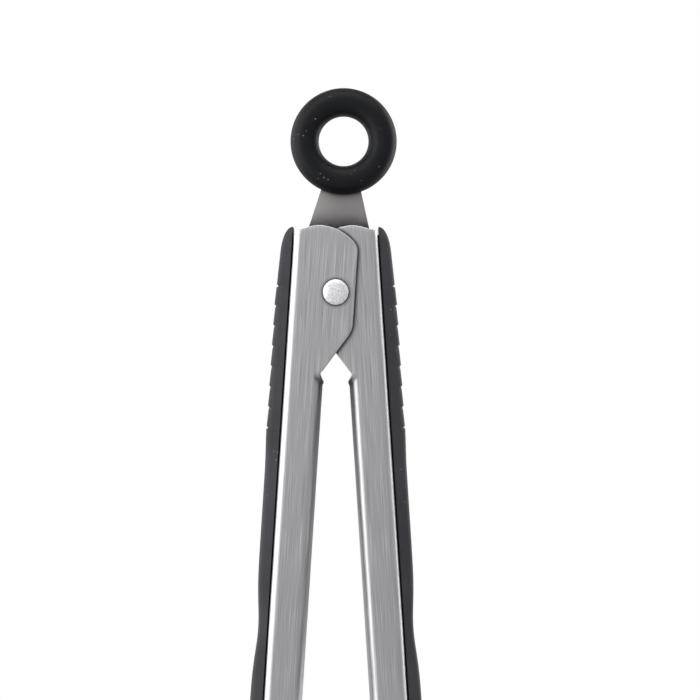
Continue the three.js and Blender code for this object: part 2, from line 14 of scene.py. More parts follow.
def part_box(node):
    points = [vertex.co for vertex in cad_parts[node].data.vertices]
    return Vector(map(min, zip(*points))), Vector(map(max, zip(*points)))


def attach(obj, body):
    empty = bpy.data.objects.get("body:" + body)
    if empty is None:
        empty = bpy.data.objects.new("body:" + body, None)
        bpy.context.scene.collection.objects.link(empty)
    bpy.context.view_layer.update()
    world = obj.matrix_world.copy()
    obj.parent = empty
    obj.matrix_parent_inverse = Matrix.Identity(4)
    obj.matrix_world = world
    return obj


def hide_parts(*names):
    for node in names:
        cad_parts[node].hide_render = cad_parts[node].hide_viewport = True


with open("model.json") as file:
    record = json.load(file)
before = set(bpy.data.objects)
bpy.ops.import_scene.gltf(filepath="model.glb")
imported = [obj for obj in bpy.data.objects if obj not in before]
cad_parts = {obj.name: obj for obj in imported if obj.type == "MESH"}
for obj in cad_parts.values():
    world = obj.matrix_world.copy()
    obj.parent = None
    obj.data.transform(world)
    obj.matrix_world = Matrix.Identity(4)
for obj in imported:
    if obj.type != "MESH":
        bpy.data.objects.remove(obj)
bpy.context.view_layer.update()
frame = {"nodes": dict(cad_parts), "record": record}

bl_info = {
    "name": "Spring Loaded Kitchen Tongs",
    "version": (1, 0, 0),
    "blender": (4, 5, 0),
    "location": "3D Viewport > Sidebar > Tongs",
    "description": "Builds locking kitchen tongs piece by piece round a packed model",
    "category": "Object",
}

JOINTS = {joint["name"]: joint for joint in frame["record"]["behaviour"]["joints"]}
OPEN_ANGLE = math.radians(JOINTS["arm_close"]["range_deg"][1])
SLIDE_AXIS = Vector(JOINTS["tab_slide"]["axis"])
TAB_LEAN = math.atan2(SLIDE_AXIS.x, SLIDE_AXIS.z)
RING_LOW, RING_HIGH = [Vector(corner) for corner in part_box("hanging_ring")]
RING_CENTRE = ((RING_LOW + RING_HIGH) / 2).length
HEAD_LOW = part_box("outer_arm")[0]
MM = 0.001
CLEARANCE = 0.3         # millimetres between pieces that run on each other


# ------------------------------------------------------------------ settings
def length(name, default_mm, description):
    """A length setting, given in millimetres and kept in metres."""
    return bpy.props.FloatProperty(name=name, default=default_mm * MM, precision=5, unit="LENGTH",
                                   description=description)


def colour(name, default, description):
    """A linear colour setting."""
    return bpy.props.FloatVectorProperty(name=name, default=default, subtype="COLOR", size=3,
                                         min=0.0, max=1.0, description=description)


class TONGS_PG_arm(bpy.types.PropertyGroup):
    """Sizes of the two folded arms."""
    open_angle: bpy.props.FloatProperty(
        name="Open Angle", default=OPEN_ANGLE, subtype="ANGLE", description="Tilt of each arm at rest")
    sheet: length("Sheet", 1.0, "Thickness of the steel")
    bend: length("Bend Radius", 2.0, "Outside radius of the bends")
    web: length("Web Offset", 12.15, "Outside of the web to the pivot, closed")
    lip_gap: length("Lip Gap", 2.05, "Outside of the rolled lips to the middle plane, closed")
    outer_depth: length("Outer Depth", 21.0, "Depth of the outer arm at its ears")
    inner_depth: length("Inner Depth", 18.4, "Depth of the inner arm at its ears")
    lip_top: length("Lip Top", -22.9, "Height where the rolled lips start")
    lip_depth: length("Lip Depth", 3.6, "How far the lips turn in")
    lip_fold: bpy.props.FloatProperty(
        name="Lip Fold", default=math.radians(74), subtype="ANGLE",
        description="How far round the lips are rolled")
    neck_height: length("Neck Height", -176.0, "Height where the channel turns into the head")
    neck_depth: length("Neck Depth", 15.0, "Depth of the channel at the neck")
    head_length: length("Head Length", 72.0, "Length of the scoop")
    head_width: length("Head Half Width", 19.0, "Half the width of the scoop")
    tip_gap: length("Tip Gap", 0.9, "Rim to the middle plane, closed")
    scallop: length("Scallop Depth", 1.3, "Depth of the scallops in the rim")
    scallops: bpy.props.IntProperty(name="Scallops", default=5, min=0, description="Scallops on each side")


class TONGS_PG_grip(bpy.types.PropertyGroup):
    """Sizes of the soft grips."""
    top: length("Top", 16.8, "Height of the upper end")
    run: length("Length", 157.0, "Length of the grip")
    base: length("Skin Gap", 0.4, "From the steel to the edge of the skin")
    thick: length("Thickness", 3.8, "Grip over the steel, at the plain part")
    margin: length("Margin", 1.6, "Edge of the web to the side of the grip")
    ribs: bpy.props.IntProperty(name="Grooves", default=8, min=2, description="Grooves across the grip")
    rib_top: length("First Groove", 0.8, "Height of the first groove")
    rib_pitch: length("Groove Pitch", 5.45, "From groove to groove")
    groove: length("Groove Width", 0.6, "Width of a groove")
    groove_depth: length("Groove Depth", 0.4, "Depth of a groove")
    colour: colour("Rubber", (0.042, 0.042, 0.047), "Colour of the soft rubber")


class TONGS_PG_tab(bpy.types.PropertyGroup):
    """Sizes of the lock tab and its ring."""
    lean: bpy.props.FloatProperty(name="Lean", default=TAB_LEAN, subtype="ANGLE",
                                  description="Tilt of the tab at rest")
    thick: length("Thickness", 1.5, "Thickness of the plate")
    half_width: length("Half Width", 8.7, "Half the width of the plate")
    neck: length("Neck Half Width", 5.1, "Half width of the neck inside the ring")
    ring_centre: bpy.props.FloatProperty(name="Ring Centre", default=RING_CENTRE, precision=5, unit="LENGTH",
                                         description="Pivot to the middle of the ring")
    ring_outer: length("Ring Radius", 14.35, "Outside radius of the ring")
    ring_hole: length("Ring Hole", 6.7, "Radius of the hole")
    ring_thick: length("Ring Thickness", 9.0, "Thickness of the ring")
    ring_colour: colour("Ring Rubber", (0.0045, 0.005, 0.007), "Colour of the ring")
    plate_colour: colour("Plate", (0.40, 0.38, 0.375), "Colour of the blasted plate")


class TONGS_PG_pivot(bpy.types.PropertyGroup):
    """Sizes of the rivet, bushes and spring."""
    head: length("Rivet Head", 3.4, "Radius of the rivet head")
    head_rise: length("Rivet Rise", 1.2, "Height of the rivet head")
    shank: length("Rivet Shank", 2.0, "Radius of the rivet")
    wall: length("Sleeve Wall", 0.9, "Wall of the sleeve and the bushes")
    wire: length("Wire", 1.2, "Diameter of the spring wire")
    turns: bpy.props.IntProperty(name="Turns", default=3, min=1, description="Whole turns in each coil")
    leg_height: length("Leg Height", -13.0, "Height where the spring bears on the webs")


class TONGS_PG_stage(bpy.types.PropertyGroup):
    """The floor, the light and the camera."""
    lens: bpy.props.FloatProperty(name="Lens", default=125.0, description="Focal length in millimetres")
    view_width: length("View Width", 189.0, "Width of the view at the tongs")
    view_x: length("View Centre X", 3.8, "Middle of the view, across")
    view_z: length("View Centre Z", -15.4, "Middle of the view, up")
    floor_drop: length("Floor Drop", 4.0, "Floor below the heads")
    floor_radius: length("Floor Radius", 850.0, "Radius of the floor")
    steel: colour("Steel", (0.60, 0.60, 0.61), "Colour of the brushed steel")


SETTINGS = {
    "tongs_arm": TONGS_PG_arm,
    "tongs_grip": TONGS_PG_grip,
    "tongs_tab": TONGS_PG_tab,
    "tongs_pivot": TONGS_PG_pivot,
    "tongs_stage": TONGS_PG_stage,
}


def mm(settings, name):
    """A length setting in millimetres."""
    return getattr(settings, name) / MM


# ------------------------------------------------------------------ small mathematics
def mix(a, b, t):
    """The value a share t of the way from a to b."""
    return a + (b - a) * t


def smooth(t):
    """An eased step from 0 to 1."""
    t = min(1.0, max(0.0, t))
    return t * t * (3 - 2 * t)


def power(x, exponent):
    """A power that keeps the sign, for rounded profiles."""
    return math.copysign(abs(x) ** exponent, x)


def bezier(a, b, c, d, steps):
    """Points along a cubic curve, the last one left out."""
    points = []
    for k in range(steps):
        t = k / steps
        s = 1 - t
        weights = (s ** 3, 3 * s * s * t, 3 * s * t * t, t ** 3)
        points.append(tuple(sum(w * p[i] for w, p in zip(weights, (a, b, c, d))) for i in (0, 1)))
    return points


def even_points(points, count):
    """The same line cut into count points at equal distances."""
    runs = [0.0]
    for a, b in zip(points, points[1:]):
        runs.append(runs[-1] + math.dist(a, b))
    result = []
    j = 0
    for k in range(count):
        want = runs[-1] * k / (count - 1)
        while j + 2 < len(runs) and runs[j + 1] < want:
            j += 1
        t = (want - runs[j]) / (runs[j + 1] - runs[j])
        result.append(tuple(mix(p, q, t) for p, q in zip(points[j], points[j + 1])))
    return result


# ------------------------------------------------------------------ mesh helpers
def new_object(name, mesh):
    """An object in the scene that holds the given mesh or curve."""
    piece = bpy.data.objects.new(name, mesh)
    bpy.context.scene.collection.objects.link(piece)
    return piece


def mesh_from(name, points, faces):
    """A mesh object from points in millimetres."""
    mesh = bpy.data.meshes.new(name)
    mesh.from_pydata([tuple(c * MM for c in p) for p in points], [], faces)
    mesh.validate()
    return new_object(name, mesh)


def grid_faces(rows, columns, loop=False):
    """Quads over a grid of points, closed round the columns where loop is true."""
    faces = []
    for j in range(rows - 1):
        for i in range(columns if loop else columns - 1):
            n = (i + 1) % columns
            faces.append((j * columns + i, j * columns + n, (j + 1) * columns + n, (j + 1) * columns + i))
    return faces


def settle(piece, turn=0.0, mirror=False, sharp=math.radians(35)):
    """Applies the modifiers, mirrors the mesh, turns it into place and shades it."""
    depsgraph = bpy.context.evaluated_depsgraph_get()
    depsgraph.update()
    mesh = bpy.data.meshes.new_from_object(piece.evaluated_get(depsgraph), depsgraph=depsgraph)
    old = piece.data
    material = old.materials[0] if len(old.materials) and old.materials[0] else None
    place = Matrix.Rotation(turn, 4, "Y")
    if mirror:
        place = Matrix.Rotation(turn, 4, "Y") @ Matrix.Scale(-1, 4, Vector((1, 0, 0)))
    mesh.transform(place)
    work = bmesh.new()
    work.from_mesh(mesh)
    bmesh.ops.remove_doubles(work, verts=work.verts, dist=1e-7)
    bmesh.ops.recalc_face_normals(work, faces=work.faces)
    work.to_mesh(mesh)
    work.free()
    mesh.name = piece.name
    if material and not len(mesh.materials):
        mesh.materials.append(material)
    mesh.polygons.foreach_set("use_smooth", [True] * len(mesh.polygons))
    mesh.set_sharp_from_angle(angle=sharp)
    fresh = new_object(piece.name + "_settled", mesh)
    name = piece.name
    kind = bpy.data.curves if piece.type == "CURVE" else bpy.data.meshes
    bpy.data.objects.remove(piece)
    if old.users == 0:
        kind.remove(old)
    fresh.name = name
    mesh.name = name
    return fresh


def finish_piece(piece, body, slot, material, *nodes):
    """Gives a finished piece its material and its body, and hides the nodes that it stands for; the slot is
    not used.
    """
    piece.data.materials.clear()
    piece.data.materials.append(material)
    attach(piece, body)
    if nodes:
        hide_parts(*nodes)
    return piece


def turned_profile(name, profile, segments, centre=(0.0, 0.0), closed=True):
    """A profile of (radius, y) in millimetres turned about the Y axis through centre (x, z)."""
    points = []
    for k in range(segments):
        a = 2 * math.pi * k / segments
        for radius, y in profile:
            points.append((centre[0] + radius * math.cos(a), y, centre[1] + radius * math.sin(a)))
    count = len(profile)
    faces = []
    for k in range(segments):
        n = (k + 1) % segments
        for i in range(count if closed else count - 1):
            m = (i + 1) % count
            faces.append((k * count + i, k * count + m, n * count + m, n * count + i))
    return mesh_from(name, points, faces)


def rounded_corner(centre, radius, start, end, steps=5):
    """Points on an arc, angles in degrees."""
    result = []
    for k in range(steps + 1):
        a = math.radians(mix(start, end, k / steps))
        result.append((centre[0] + radius * math.cos(a), centre[1] + radius * math.sin(a)))
    return result


# ------------------------------------------------------------------ shader groups
def add_node(tree, kind, **values):
    """A node with its settings."""
    node = tree.nodes.new(kind)
    for key, value in values.items():
        setattr(node, key, value)
    return node


def group_tree(name, inputs, outputs):
    """A new shader node group with float, vector and colour sockets."""
    tree = bpy.data.node_groups.new(name, "ShaderNodeTree")
    for label, kind, default in inputs:
        socket = tree.interface.new_socket(name=label, in_out="INPUT", socket_type=kind)
        if default is not None:
            socket.default_value = default
    for label, kind in outputs:
        tree.interface.new_socket(name=label, in_out="OUTPUT", socket_type=kind)
    return tree, tree.nodes.new("NodeGroupInput"), tree.nodes.new("NodeGroupOutput")


def math_node(tree, operation, a, b=None):
    """A Math node fed by sockets or numbers; returns its output."""
    node = add_node(tree, "ShaderNodeMath", operation=operation)
    for number, value in enumerate((a, b)):
        if value is None:
            continue
        if isinstance(value, (int, float)):
            node.inputs[number].default_value = value
        else:
            tree.links.new(value, node.inputs[number])
    return node.outputs[0]


def noise_node(tree, vector, scale, detail=2.0, roughness=0.5):
    """A Noise Texture at a place; returns its value."""
    node = add_node(tree, "ShaderNodeTexNoise")
    tree.links.new(vector, node.inputs["Vector"])
    node.inputs["Scale"].default_value = scale
    node.inputs["Detail"].default_value = detail
    node.inputs["Roughness"].default_value = roughness
    return node.outputs["Fac"]


def range_node(tree, value, low, high, to_low=0.0, to_high=1.0):
    """A Map Range of a value; returns its result."""
    node = add_node(tree, "ShaderNodeMapRange")
    tree.links.new(value, node.inputs["Value"])
    for label, number in (("From Min", low), ("From Max", high), ("To Min", to_low), ("To Max", to_high)):
        node.inputs[label].default_value = number
    return node.outputs["Result"]


def brushed_group():
    """Long fine scratches along Z of the incoming place: a streak mask and a height."""
    tree, source, sink = group_tree(
        "brushed_grain",
        [("Place", "NodeSocketVector", None), ("Along", "NodeSocketFloat", 65.0),
         ("Across", "NodeSocketFloat", 10500.0)],
        [("Streaks", "NodeSocketFloat"), ("Scratches", "NodeSocketFloat"), ("Clouds", "NodeSocketFloat"),
         ("Height", "NodeSocketFloat")])
    stretch = add_node(tree, "ShaderNodeCombineXYZ")
    tree.links.new(source.outputs["Across"], stretch.inputs["X"])
    tree.links.new(source.outputs["Across"], stretch.inputs["Y"])
    tree.links.new(source.outputs["Along"], stretch.inputs["Z"])
    scaled = add_node(tree, "ShaderNodeVectorMath", operation="MULTIPLY")
    tree.links.new(source.outputs["Place"], scaled.inputs[0])
    tree.links.new(stretch.outputs[0], scaled.inputs[1])
    fine = noise_node(tree, scaled.outputs[0], 1.0, detail=1.0, roughness=0.5)
    wide = noise_node(tree, scaled.outputs[0], 0.35, detail=1.0, roughness=0.5)
    mostly = math_node(tree, "MULTIPLY", fine, 0.85)
    partly = math_node(tree, "MULTIPLY", wide, 0.15)
    streaks = range_node(tree, math_node(tree, "ADD", mostly, partly), 0.33, 0.67)
    rare = noise_node(tree, scaled.outputs[0], 0.8, detail=0.0)
    tree.links.new(range_node(tree, rare, 0.68, 0.76), sink.inputs["Scratches"])
    clouds = noise_node(tree, source.outputs["Place"], 45.0, detail=2.0)
    tree.links.new(streaks, sink.inputs["Streaks"])
    tree.links.new(range_node(tree, clouds, 0.35, 0.65), sink.inputs["Clouds"])
    tree.links.new(fine, sink.inputs["Height"])
    return tree


def edge_group():
    """A softened normal round sharp edges, and a mask of those edges, broken up by noise, for painted
    highlights and painted shade along them.
    """
    tree, source, sink = group_tree(
        "edge_wear",
        [("Place", "NodeSocketVector", None), ("Radius", "NodeSocketFloat", 0.0003)],
        [("Mask", "NodeSocketFloat"), ("Normal", "NodeSocketVector")])
    flat = add_node(tree, "ShaderNodeNewGeometry")
    soft = add_node(tree, "ShaderNodeBevel", samples=6)
    tree.links.new(source.outputs["Radius"], soft.inputs["Radius"])
    along = add_node(tree, "ShaderNodeVectorMath", operation="DOT_PRODUCT")
    tree.links.new(flat.outputs["Normal"], along.inputs[0])
    tree.links.new(soft.outputs["Normal"], along.inputs[1])
    edge = range_node(tree, along.outputs["Value"], 0.99, 0.85)
    patches = noise_node(tree, source.outputs["Place"], 900.0, detail=3.0)
    breaks = range_node(tree, patches, 0.2, 0.5, 0.7, 1.0)
    tree.links.new(math_node(tree, "MULTIPLY", edge, breaks), sink.inputs["Mask"])
    tree.links.new(soft.outputs["Normal"], sink.inputs["Normal"])
    return tree


def occlusion_shade_group():
    """A mask of the places that other faces stand close to, where the materials paint shade into their
    colour.
    """
    tree, source, sink = group_tree(
        "crevice",
        [("Place", "NodeSocketVector", None), ("Reach", "NodeSocketFloat", 0.0015),
         ("Start", "NodeSocketFloat", 0.85), ("End", "NodeSocketFloat", 0.35)],
        [("Mask", "NodeSocketFloat")])
    # ambient occlusion drives painted shade, not dirt
    near = add_node(tree, "ShaderNodeAmbientOcclusion", samples=12)
    tree.links.new(source.outputs["Reach"], near.inputs["Distance"])
    breaks = range_node(tree, noise_node(tree, source.outputs["Place"], 700.0), 0.2, 0.6, 0.9, 1.0)
    shade = add_node(tree, "ShaderNodeMapRange")
    tree.links.new(near.outputs["AO"], shade.inputs["Value"])
    tree.links.new(source.outputs["Start"], shade.inputs["From Min"])
    tree.links.new(source.outputs["End"], shade.inputs["From Max"])
    tree.links.new(math_node(tree, "MULTIPLY", shade.outputs[0], breaks), sink.inputs["Mask"])
    return tree


def speckle_group():
    """Fine pits and grains at two sizes: a height and a mask of pale specks."""
    tree, source, sink = group_tree(
        "fine_speckle",
        [("Place", "NodeSocketVector", None), ("Grain", "NodeSocketFloat", 4000.0)],
        [("Height", "NodeSocketFloat"), ("Specks", "NodeSocketFloat"), ("Clouds", "NodeSocketFloat")])
    grain = add_node(tree, "ShaderNodeTexNoise")
    grain.inputs["Detail"].default_value = 4.0
    grain.inputs["Roughness"].default_value = 0.7
    tree.links.new(source.outputs["Place"], grain.inputs["Vector"])
    tree.links.new(source.outputs["Grain"], grain.inputs["Scale"])
    dots = add_node(tree, "ShaderNodeTexVoronoi", feature="F1")
    dots.inputs["Scale"].default_value = 700.0
    tree.links.new(source.outputs["Place"], dots.inputs["Vector"])
    near = range_node(tree, dots.outputs["Distance"], 0.16, 0.10)
    pick = range_node(tree, noise_node(tree, source.outputs["Place"], 300.0, detail=0.0), 0.60, 0.66)
    tree.links.new(grain.outputs["Fac"], sink.inputs["Height"])
    tree.links.new(math_node(tree, "MULTIPLY", near, pick), sink.inputs["Specks"])
    clouds = noise_node(tree, source.outputs["Place"], 60.0, detail=3.0)
    tree.links.new(range_node(tree, clouds, 0.35, 0.65), sink.inputs["Clouds"])
    return tree


GROUPS = {}


def effect(tree, name, place, **values):
    """One of the shared effects placed in a material."""
    if name not in GROUPS:
        GROUPS[name] = {"brushed": brushed_group, "edges": edge_group, "speckle": speckle_group,
                        "crevice": occlusion_shade_group}[name]()
    node = add_node(tree, "ShaderNodeGroup", node_tree=GROUPS[name])
    tree.links.new(place, node.inputs["Place"])
    for key, value in values.items():
        node.inputs[key].default_value = value
    return node


# ------------------------------------------------------------------ materials
def material_base(name, turn=0.0):
    """A new material: its tree, its Principled shader and the piece's own place, turned upright."""
    material = bpy.data.materials.new(name)
    material.use_nodes = True
    tree = material.node_tree
    shader = tree.nodes["Principled BSDF"]
    coordinates = add_node(tree, "ShaderNodeTexCoord")
    mapping = add_node(tree, "ShaderNodeMapping")
    mapping.inputs["Rotation"].default_value = (0.0, turn, 0.0)
    tree.links.new(coordinates.outputs["Object"], mapping.inputs["Vector"])
    return material, tree, shader, mapping.outputs["Vector"]


def blend_colour(tree, mask, first, second):
    """A colour between two, by a mask."""
    node = add_node(tree, "ShaderNodeMix", data_type="RGBA")
    tree.links.new(mask, node.inputs[0])
    for socket, value in ((node.inputs[6], first), (node.inputs[7], second)):
        if isinstance(value, bpy.types.NodeSocket):
            tree.links.new(value, socket)
        else:
            socket.default_value = (*value, 1.0)
    return node.outputs[2]


def bump(tree, shader, height, strength, distance_mm, edges=None):
    """Feeds a bump to the shader's normal, on top of the softened edges where given."""
    node = add_node(tree, "ShaderNodeBump")
    node.inputs["Strength"].default_value = strength
    node.inputs["Distance"].default_value = distance_mm * MM
    tree.links.new(height, node.inputs["Height"])
    if edges:
        tree.links.new(edges.outputs["Normal"], node.inputs["Normal"])
    tree.links.new(node.outputs["Normal"], shader.inputs["Normal"])


def shaded(rgb, factor):
    """A lighter or darker shade of a colour."""
    return tuple(min(1.0, c * factor) for c in rgb)


def brushed_steel(name, rgb, turn=0.0):
    """Steel brushed along its length, with a painted highlight on its edges and painted shade in its lips and
    gaps.
    """
    material, tree, shader, place = material_base(name, turn)
    sheet = add_node(tree, "ShaderNodeAttribute", attribute_name="sheet_place")
    grain = effect(tree, "brushed", sheet.outputs["Vector"])
    edges = effect(tree, "edges", place)
    # painted shade: the steel goes near black where other faces stand close, as dark lines along the ears and
    # in the gaps
    painted_shade = effect(tree, "crevice", place, Reach=0.0013, Start=0.92, End=0.62)
    toned = blend_colour(tree, grain.outputs["Streaks"], shaded(rgb, 0.74), shaded(rgb, 1.24))
    scratched = blend_colour(tree, grain.outputs["Scratches"], toned, (0.82, 0.82, 0.82))
    # painted highlight: the sharp edges turn lighter, as if they caught the light
    edge_highlit = blend_colour(tree, edges.outputs["Mask"], scratched, (0.78, 0.78, 0.78))
    # painted shade on the rolled lips, darkest where they start
    lips = add_node(tree, "ShaderNodeAttribute", attribute_name="lip_stain")
    lip_dark_share = math_node(tree, "MULTIPLY", lips.outputs["Fac"], 0.8)
    shade_painted = blend_colour(tree, lip_dark_share, edge_highlit, (0.05, 0.05, 0.052))
    tree.links.new(blend_colour(tree, painted_shade.outputs["Mask"], shade_painted, (0.03, 0.03, 0.03)),
                   shader.inputs["Base Color"])
    shader.inputs["Metallic"].default_value = 1.0
    tree.links.new(range_node(tree, grain.outputs["Streaks"], 0.0, 1.0, 0.40, 0.50),
                   shader.inputs["Roughness"])
    bump(tree, shader, grain.outputs["Height"], 0.4, 0.012, edges)
    return material


def blasted_steel(name, rgb):
    """Bead blasted steel: matte and finely pitted, with painted shade along its stamped edge and a painted
    shadow where the ears stand in front of it.
    """
    material, tree, shader, place = material_base(name)
    grain = effect(tree, "speckle", place, Grain=2600.0)
    # painted shadow: a dark band on the plate just above the ears' tops, where they stand in front of it
    painted_shade = effect(tree, "crevice", place, Reach=0.03, Start=0.67, End=0.60)
    edges = effect(tree, "edges", place, Radius=0.0004)
    toned = blend_colour(tree, grain.outputs["Height"], shaded(rgb, 0.75), shaded(rgb, 1.22))
    cloudy = blend_colour(tree, grain.outputs["Clouds"], shaded(rgb, 0.94), toned)
    # painted shade: the plate darker along its edges
    shade_painted = blend_colour(tree, edges.outputs["Mask"], cloudy, shaded(rgb, 0.15))
    tree.links.new(blend_colour(tree, painted_shade.outputs["Mask"], shade_painted, (0.02, 0.02, 0.02)),
                   shader.inputs["Base Color"])
    shader.inputs["Metallic"].default_value = 0.85
    tree.links.new(range_node(tree, grain.outputs["Height"], 0.3, 0.7, 0.50, 0.66),
                   shader.inputs["Roughness"])
    bump(tree, shader, grain.outputs["Height"], 0.5, 0.03)
    return material


def satin_metal(name, rgb, roughness, dimple=0.25, metallic=1.0):
    """Satin metal with soft dimples from the tool that formed it, and painted shade where other faces stand
    close.
    """
    material, tree, shader, place = material_base(name)
    grain = effect(tree, "speckle", place, Grain=2000.0)
    # painted shade: near black where other faces stand close, as round the rivet head
    painted_shade = effect(tree, "crevice", place, Reach=0.0008)
    mottled = range_node(tree, grain.outputs["Height"], 0.34, 0.66)
    toned = blend_colour(tree, mottled, shaded(rgb, 0.64), shaded(rgb, 1.08))
    tree.links.new(blend_colour(tree, painted_shade.outputs["Mask"], toned, (0.02, 0.02, 0.02)),
                   shader.inputs["Base Color"])
    shader.inputs["Metallic"].default_value = metallic
    tree.links.new(range_node(tree, grain.outputs["Clouds"], 0.0, 1.0, roughness - 0.06, roughness + 0.06),
                   shader.inputs["Roughness"])
    bump(tree, shader, grain.outputs["Height"], dimple, 0.04)
    return material


def moulded(name, rgb, roughness, grain_size, depth, dust):
    """Moulded rubber or plastic: a fine spark texture, a few pale specks, and painted shade where other faces
    stand close.
    """
    material, tree, shader, place = material_base(name)
    grain = effect(tree, "speckle", place, Grain=grain_size)
    toned = blend_colour(tree, grain.outputs["Clouds"], shaded(rgb, 0.85), shaded(rgb, 1.15))
    specked = math_node(tree, "MULTIPLY", grain.outputs["Specks"], dust)
    dusty = blend_colour(tree, specked, toned, (0.30, 0.30, 0.31))
    # painted shade: near black where other faces stand close, as in the slit beside the grips
    painted_shade = effect(tree, "crevice", place, Reach=0.0008, Start=0.9, End=0.5)
    tree.links.new(blend_colour(tree, painted_shade.outputs["Mask"], dusty, (0.001, 0.001, 0.001)),
                   shader.inputs["Base Color"])
    tree.links.new(range_node(tree, grain.outputs["Height"], 0.3, 0.7, roughness - 0.07, roughness + 0.07),
                   shader.inputs["Roughness"])
    shader.inputs["Specular IOR Level"].default_value = 0.22
    bump(tree, shader, grain.outputs["Height"], 0.6, depth)
    return material


# ------------------------------------------------------------------ the arms
WEB_STEPS, BEND_STEPS, FLANGE_STEPS, LIP_STEPS = 5, 8, 10, 3
EAR_CORNER = 15.6       # height where the top of an ear meets the top of the web
EAR_REACH = 5.1         # side edge of an ear past the pivot
EAR_SIDE_LOW, EAR_SIDE_HIGH = -8.2, 11.1
EAR_SLOPE = (3.3, -12.7)
EAR_CROWN = (-5.2, 17.5)
EAR_ROUND = (4.3, 13.3) # where the shoulder's curve meets the top's
NOTCH_IN = 0.9          # how far the relief notch cuts in from the lip line
EAR_ROWS = 34           # rows of points up an ear
EVEN_LENGTH = 20.0      # the channel keeps its depth this far below the lips' start
LIP_RAMP = 2.4          # length over which the lips come round
LIP_START_FOLD = math.radians(12)
LIP_START_REACH = 0.74  # share of a lip's slanted part that stands out where it starts
NECK_LEAD = 10.0        # the channel starts to open into the head this far over the neck
NECK_BLEND = 34.0       # length of that change
SCOOP_WIDEST = 0.55     # share of the head's length where the scoop is widest
SCOOP_TIP = 0.47        # share of the length over which the tip closes
SCALLOP_START = 0.2     # share of the length where the scallops begin
STUD_DROPS = (22, 78, 134)
STUD_HOLE = 2.3         # radius of the holes for the studs
HALF_COLUMNS = WEB_STEPS + (BEND_STEPS + 1) + (FLANGE_STEPS - 1) + (BEND_STEPS + 1) + LIP_STEPS


def channel_depth(arm, top_depth, z):
    """Depth of the channel: even past the lips' start, then narrowing to the neck."""
    start = mm(arm, "lip_top") - EVEN_LENGTH
    share = smooth((start - z) / (start - mm(arm, "neck_height")))
    return mix(top_depth, mm(arm, "neck_depth"), share)


def channel_half(arm, top_depth, z):
    """Half of the folded section outside, from the middle of the web to the edge of the lip."""
    web, bend, edge = mm(arm, "web"), mm(arm, "bend"), -mm(arm, "lip_gap")
    half = channel_depth(arm, top_depth, z) / 2
    turn = smooth((mm(arm, "lip_top") - z) / LIP_RAMP)
    full = mix(LIP_START_FOLD, arm.lip_fold, turn)
    fall = mm(arm, "lip_depth") - bend * (1 - math.cos(arm.lip_fold))
    fold = edge - fall / math.tan(arm.lip_fold) - bend * math.sin(arm.lip_fold)
    points = [(-web, (half - bend) * k / WEB_STEPS) for k in range(WEB_STEPS)]
    for k in range(BEND_STEPS + 1):
        a = math.pi / 2 * k / BEND_STEPS
        points.append((-web + bend * (1 - math.cos(a)), half - bend * (1 - math.sin(a))))
    for k in range(1, FLANGE_STEPS):
        points.append((mix(-web + bend, fold, k / FLANGE_STEPS), half))
    for k in range(BEND_STEPS + 1):
        a = full * k / BEND_STEPS
        points.append((fold + bend * math.sin(a), half - bend * (1 - math.cos(a))))
    last_x, last_y = points[-1]
    reach = mix(LIP_START_REACH, 1.0, turn)
    for k in range(1, LIP_STEPS + 1):
        run = fall / math.sin(arm.lip_fold) * k / LIP_STEPS
        points.append((last_x + reach * run * math.cos(full), last_y - run * math.sin(full)))
    return points


def scoop_half(arm, share, count):
    """The same number of points over half of the scoop's section, at a share of its length."""
    grow = math.sin(min(1.0, share / SCOOP_WIDEST) * math.pi / 2)
    close = math.sqrt(max(0.0, 1 - (max(0.0, share - SCOOP_WIDEST) / SCOOP_TIP) ** 2.2))
    along = min(1.0, max(0.0, (share - SCALLOP_START) / (1 - SCALLOP_START)))
    wave = abs(math.sin(along * arm.scallops * math.pi))
    fade = smooth((share - 0.12) / 0.1) * (1 - 0.7 * smooth((share - 0.85) / 0.1))
    half = mix(mm(arm, "neck_depth") / 2, mm(arm, "head_width"), grow ** 1.4) * close
    cup = (mm(arm, "web") - mm(arm, "tip_gap")) * (1 - 0.72 * smooth((share - 0.45) / 0.6))
    cup *= 1 - 0.6 * smooth((share - 0.85) / 0.15)
    points = []
    for k in range(count):
        t = k / (count - 1)
        angle = t * math.pi / 2
        trim = fade * mm(arm, "scallop") * (1 - wave) * smooth((t - 0.45) / 0.55)
        points.append((-mm(arm, "tip_gap") - cup * math.cos(angle) ** 0.75,
                       half * math.sin(angle) ** 1.1 - trim))
    return points


def ear_edges(arm):
    """The right side of an ear from the notch up to its shoulder, and its top from there to the web."""
    lip, gap, web = mm(arm, "lip_top"), -mm(arm, "lip_gap"), mm(arm, "web")
    start = channel_half(arm, mm(arm, "outer_depth"), lip)[-1][0]
    notch = (gap - 0.6, lip + 1.1)
    side_end, shoulder = (EAR_REACH, EAR_SIDE_LOW), (EAR_REACH, EAR_SIDE_HIGH)
    side = [(start, lip), (gap - NOTCH_IN, lip + 0.35), (gap - NOTCH_IN, lip + 0.8), notch]
    side += [(mix(notch[0], EAR_SLOPE[0], t), mix(notch[1], EAR_SLOPE[1], t)) for t in (0.33, 0.66)]
    side += bezier(EAR_SLOPE, (4.4, -11.1), (EAR_REACH, -9.8), side_end, 6)
    side += [side_end, shoulder]
    top = bezier(shoulder, (EAR_REACH, 12.0), (4.8, 12.7), EAR_ROUND, 5)
    top += bezier(EAR_ROUND, (1.9, 16.0), (-1.6, EAR_CROWN[1]), EAR_CROWN, 12)
    fall = (3.4 - web, EAR_CROWN[1] - 0.9)
    top += bezier(EAR_CROWN, (-7.2, EAR_CROWN[1]), fall, (-web, EAR_CORNER), 12)
    top.append((-web, EAR_CORNER))
    return side, top


